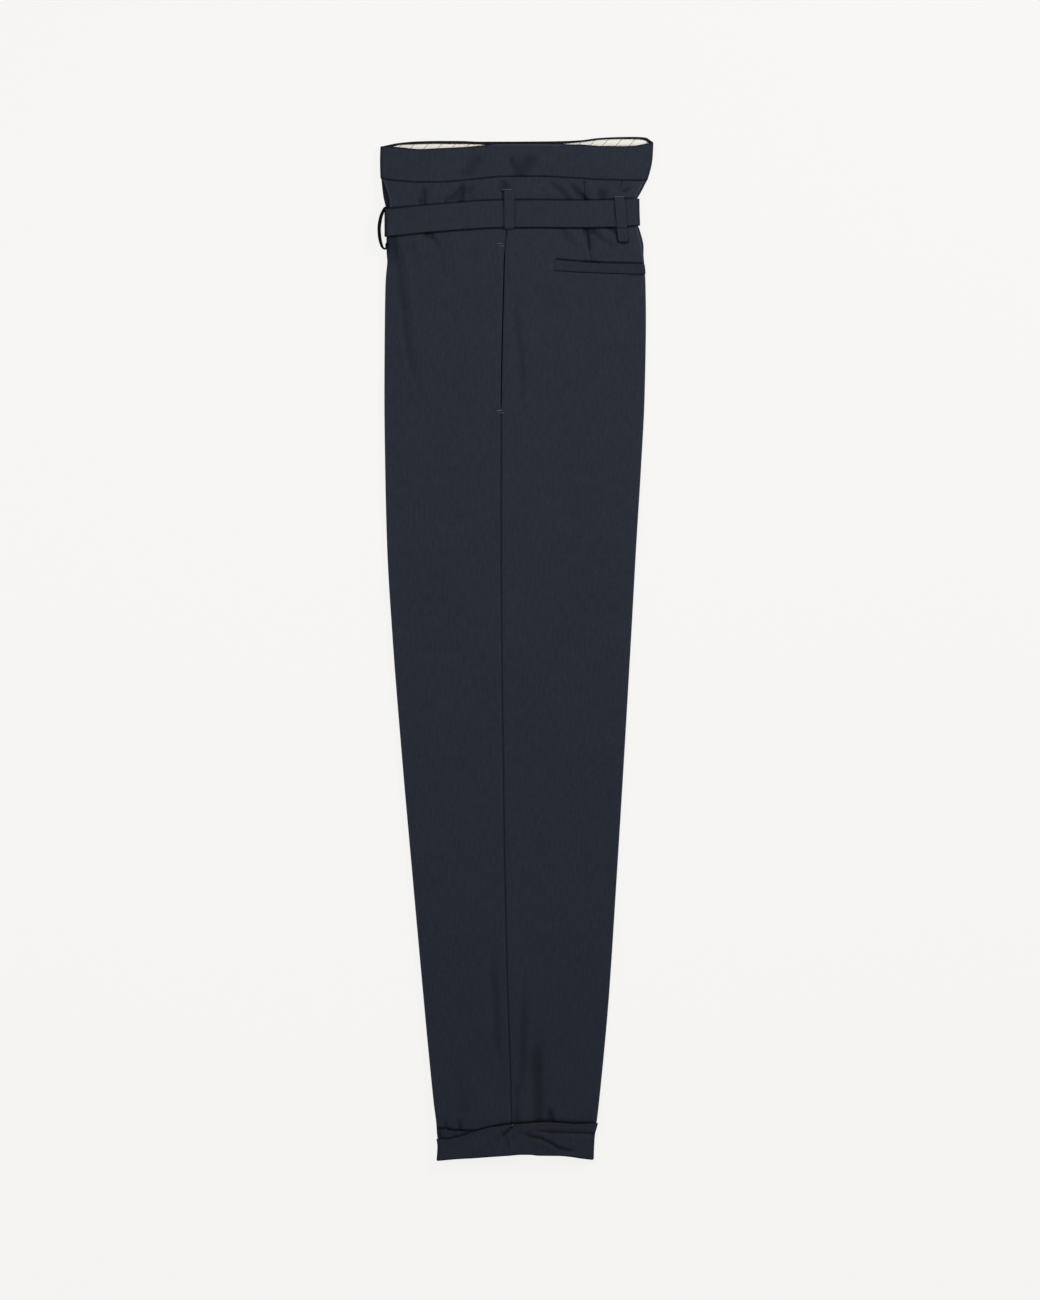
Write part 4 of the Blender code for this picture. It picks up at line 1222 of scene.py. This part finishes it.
# ---- Stitching: bar tacks of close parallel threads ----
Tack = namedtuple("Tack", "name side x y dx dy thread stand")
TACKS = (
    Tack("tack_side_loop_left", UPPER, -9.6, 487.2, 10.4, 0.0, 0.95, 2.2),
    Tack("tack_back_loop_left", UPPER, 109.2, 479.9, 9.4, 0.2, 1.1, 2.2),
    Tack("tack_pocket_top_left", UPPER, -17.2, 430.2, 5.6, 0.0, 0.9, 0.75),
    Tack("tack_pocket_under_left", UPPER, -14.9, 427.6, 5.2, 0.0, 0.9, 0.75),
    Tack("tack_pocket_low_left", UPPER, -17.2, 253.4, 6.0, 0.8, 1.1, 0.75),
    Tack("tack_pocket_low_under_left", UPPER, -15.0, 250.8, 4.4, 0.0, 0.9, 0.75),
    Tack("tack_welt_end_left", UPPER, 38.2, 407.4, 0.2, 10.4, 0.9, 0.75),
    Tack("tack_cuff_left", UPPER, -3.8, -503.8, 1.6, 1.6, 1.0, 2.2),
    Tack("tack_side_loop_right", LOWER, -8.2, 487.1, 9.4, 0.0, 1.1, 1.8),
    Tack("tack_back_loop_right", LOWER, 109.4, 479.2, 9.6, 0.0, 1.1, 1.8),
    Tack("tack_front_loop_right", LOWER, -104.0, 479.6, 9.4, 0.0, 1.1, 1.8),
)
THREAD_THICK = 0.34


def bar_tack(tack):
    """Short threads laid side by side across a line, as a machine sews them."""
    length = math.hypot(tack.dx, tack.dy)
    along = Vector((tack.dx, tack.dy, 0)) / length
    count = max(4, round(length / (THREAD_THICK * 1.05)))
    sewn = bmesh.new()
    for index in range(count):
        share = (index + 0.5) / count - 0.5
        x, y = tack.x + tack.dx * share, tack.y + tack.dy * share
        where = spot(tack.side, x, y, tack.stand)
        slant = math.radians(14 if index % 2 else -14)
        turned = math.atan2(along.y, along.x) + math.pi / 2 + slant
        made = bmesh.ops.create_uvsphere(sewn, u_segments=8, v_segments=6, radius=1.0)
        shape = Matrix.Diagonal((tack.thread / 2 * MM, THREAD_THICK / 2 * MM, THREAD_THICK / 2 * MM, 1.0))
        place = Matrix.Translation(Vector(where) * MM) @ Matrix.Rotation(turned, 4, "Z") @ shape
        bmesh.ops.transform(sewn, matrix=place, verts=made["verts"])
    piece = finished(tack.name, sewn, STITCHING, garment)
    piece.data.shade_smooth()
    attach(piece, "root")


# ---- The surface, the light and the camera ----
CAMERA_HEIGHT = 6.0
GARMENT_HEIGHT = 0.012
VIEW_TALL = 1.378
SENSOR = 36.0
VIEW_CENTRE = (0.0042, -0.0005)
FLOOR_HALF, FLOOR_DROP = 4.0, 0.0004


def floor():
    """A pale surface that glows for the camera, so that it stays even and takes only a faint shadow."""
    made, tree, shader = new_material("pale_floor")
    seen = add_node(tree, "ShaderNodeLightPath").outputs["Is Camera Ray"]
    connect(tree, shader, [
        ("Base Color", FLOOR_CLOTH),
        ("Roughness", 0.9),
        ("Specular IOR Level", 0.0),
        ("Emission Color", FLOOR),
        ("Emission Strength", maths(tree, "MULTIPLY", seen, FLOOR_GLOW)),
    ])
    sheet = bmesh.new()
    bmesh.ops.create_grid(sheet, x_segments=1, y_segments=1, size=FLOOR_HALF)
    bmesh.ops.translate(sheet, verts=sheet.verts, vec=(0, 0, -FLOOR_DROP))
    surface = finished("floor", sheet, made, bpy.context.scene.collection)


def studio_light(name, place, aim, size, power, colour):
    """A soft square light that faces a place on the garment."""
    lamp = bpy.data.lights.new(name, "AREA")
    lamp.shape = "SQUARE"
    lamp.size = size
    lamp.energy = power
    lamp.color = colour
    holder = bpy.data.objects.new(name, lamp)
    holder.location = place
    holder.rotation_euler = (Vector(place) - Vector(aim)).to_track_quat("Z", "Y").to_euler()
    bpy.context.scene.collection.objects.link(holder)


def light_and_camera():
    """Even light from all round, two soft lamps, and a camera that looks straight down."""
    world = bpy.data.worlds.new("studio")
    world.use_nodes = True
    tree = world.node_tree
    seen = add_node(tree, "ShaderNodeLightPath").outputs["Is Camera Ray"]
    strength = maths(tree, "ADD", maths(tree, "MULTIPLY", seen, BACKDROP_GLOW), WORLD_FILL)
    connect(tree, tree.nodes["Background"], [("Color", (1.0, 0.997, 0.99, 1.0)), ("Strength", strength)])
    bpy.context.scene.world = world
    studio_light("key", (1.45, 1.35, 1.50), (0.0, 0.10, 0.0), 0.42, 33.0, (1.0, 0.99, 0.975))
    studio_light("top", (-0.62, 0.28, 1.30), (0.0, 0.05, 0.0), 0.90, 8.6, (0.97, 0.98, 1.0))
    camera = bpy.data.cameras.new("camera")
    camera.sensor_fit = "VERTICAL"
    camera.sensor_height = SENSOR
    camera.lens = SENSOR * (CAMERA_HEIGHT - GARMENT_HEIGHT) / VIEW_TALL
    camera.clip_end = 100
    holder = bpy.data.objects.new("camera", camera)
    holder.location = (VIEW_CENTRE[0], VIEW_CENTRE[1], CAMERA_HEIGHT)
    bpy.context.scene.collection.objects.link(holder)
    bpy.context.scene.camera = holder
    bpy.context.scene.view_settings.view_transform = "Standard"


garment = bpy.data.collections.new("paperbag_waist_trousers_finished")
bpy.context.scene.collection.children.link(garment)
light_and_camera()
floor()

for half, half_name in ((UPPER, "left"), (LOWER, "right")):
    panel(f"front_{half_name}", half, FRONT)
    panel(f"back_{half_name}", half, BACK)
    waistband(f"waistband_{half_name}", half)
    waistband_lining(f"waistband_lining_{half_name}", half)
    pocket_facing(f"pocket_facing_{half_name}", half)
    back_welt(f"back_welt_{half_name}", half)
    cuff(f"cuff_{half_name}", half)
belt()
for one in LOOPS:
    belt_loop(one)
edge_loop()
cuff_turning()
for one in TACKS:
    bar_tack(one)
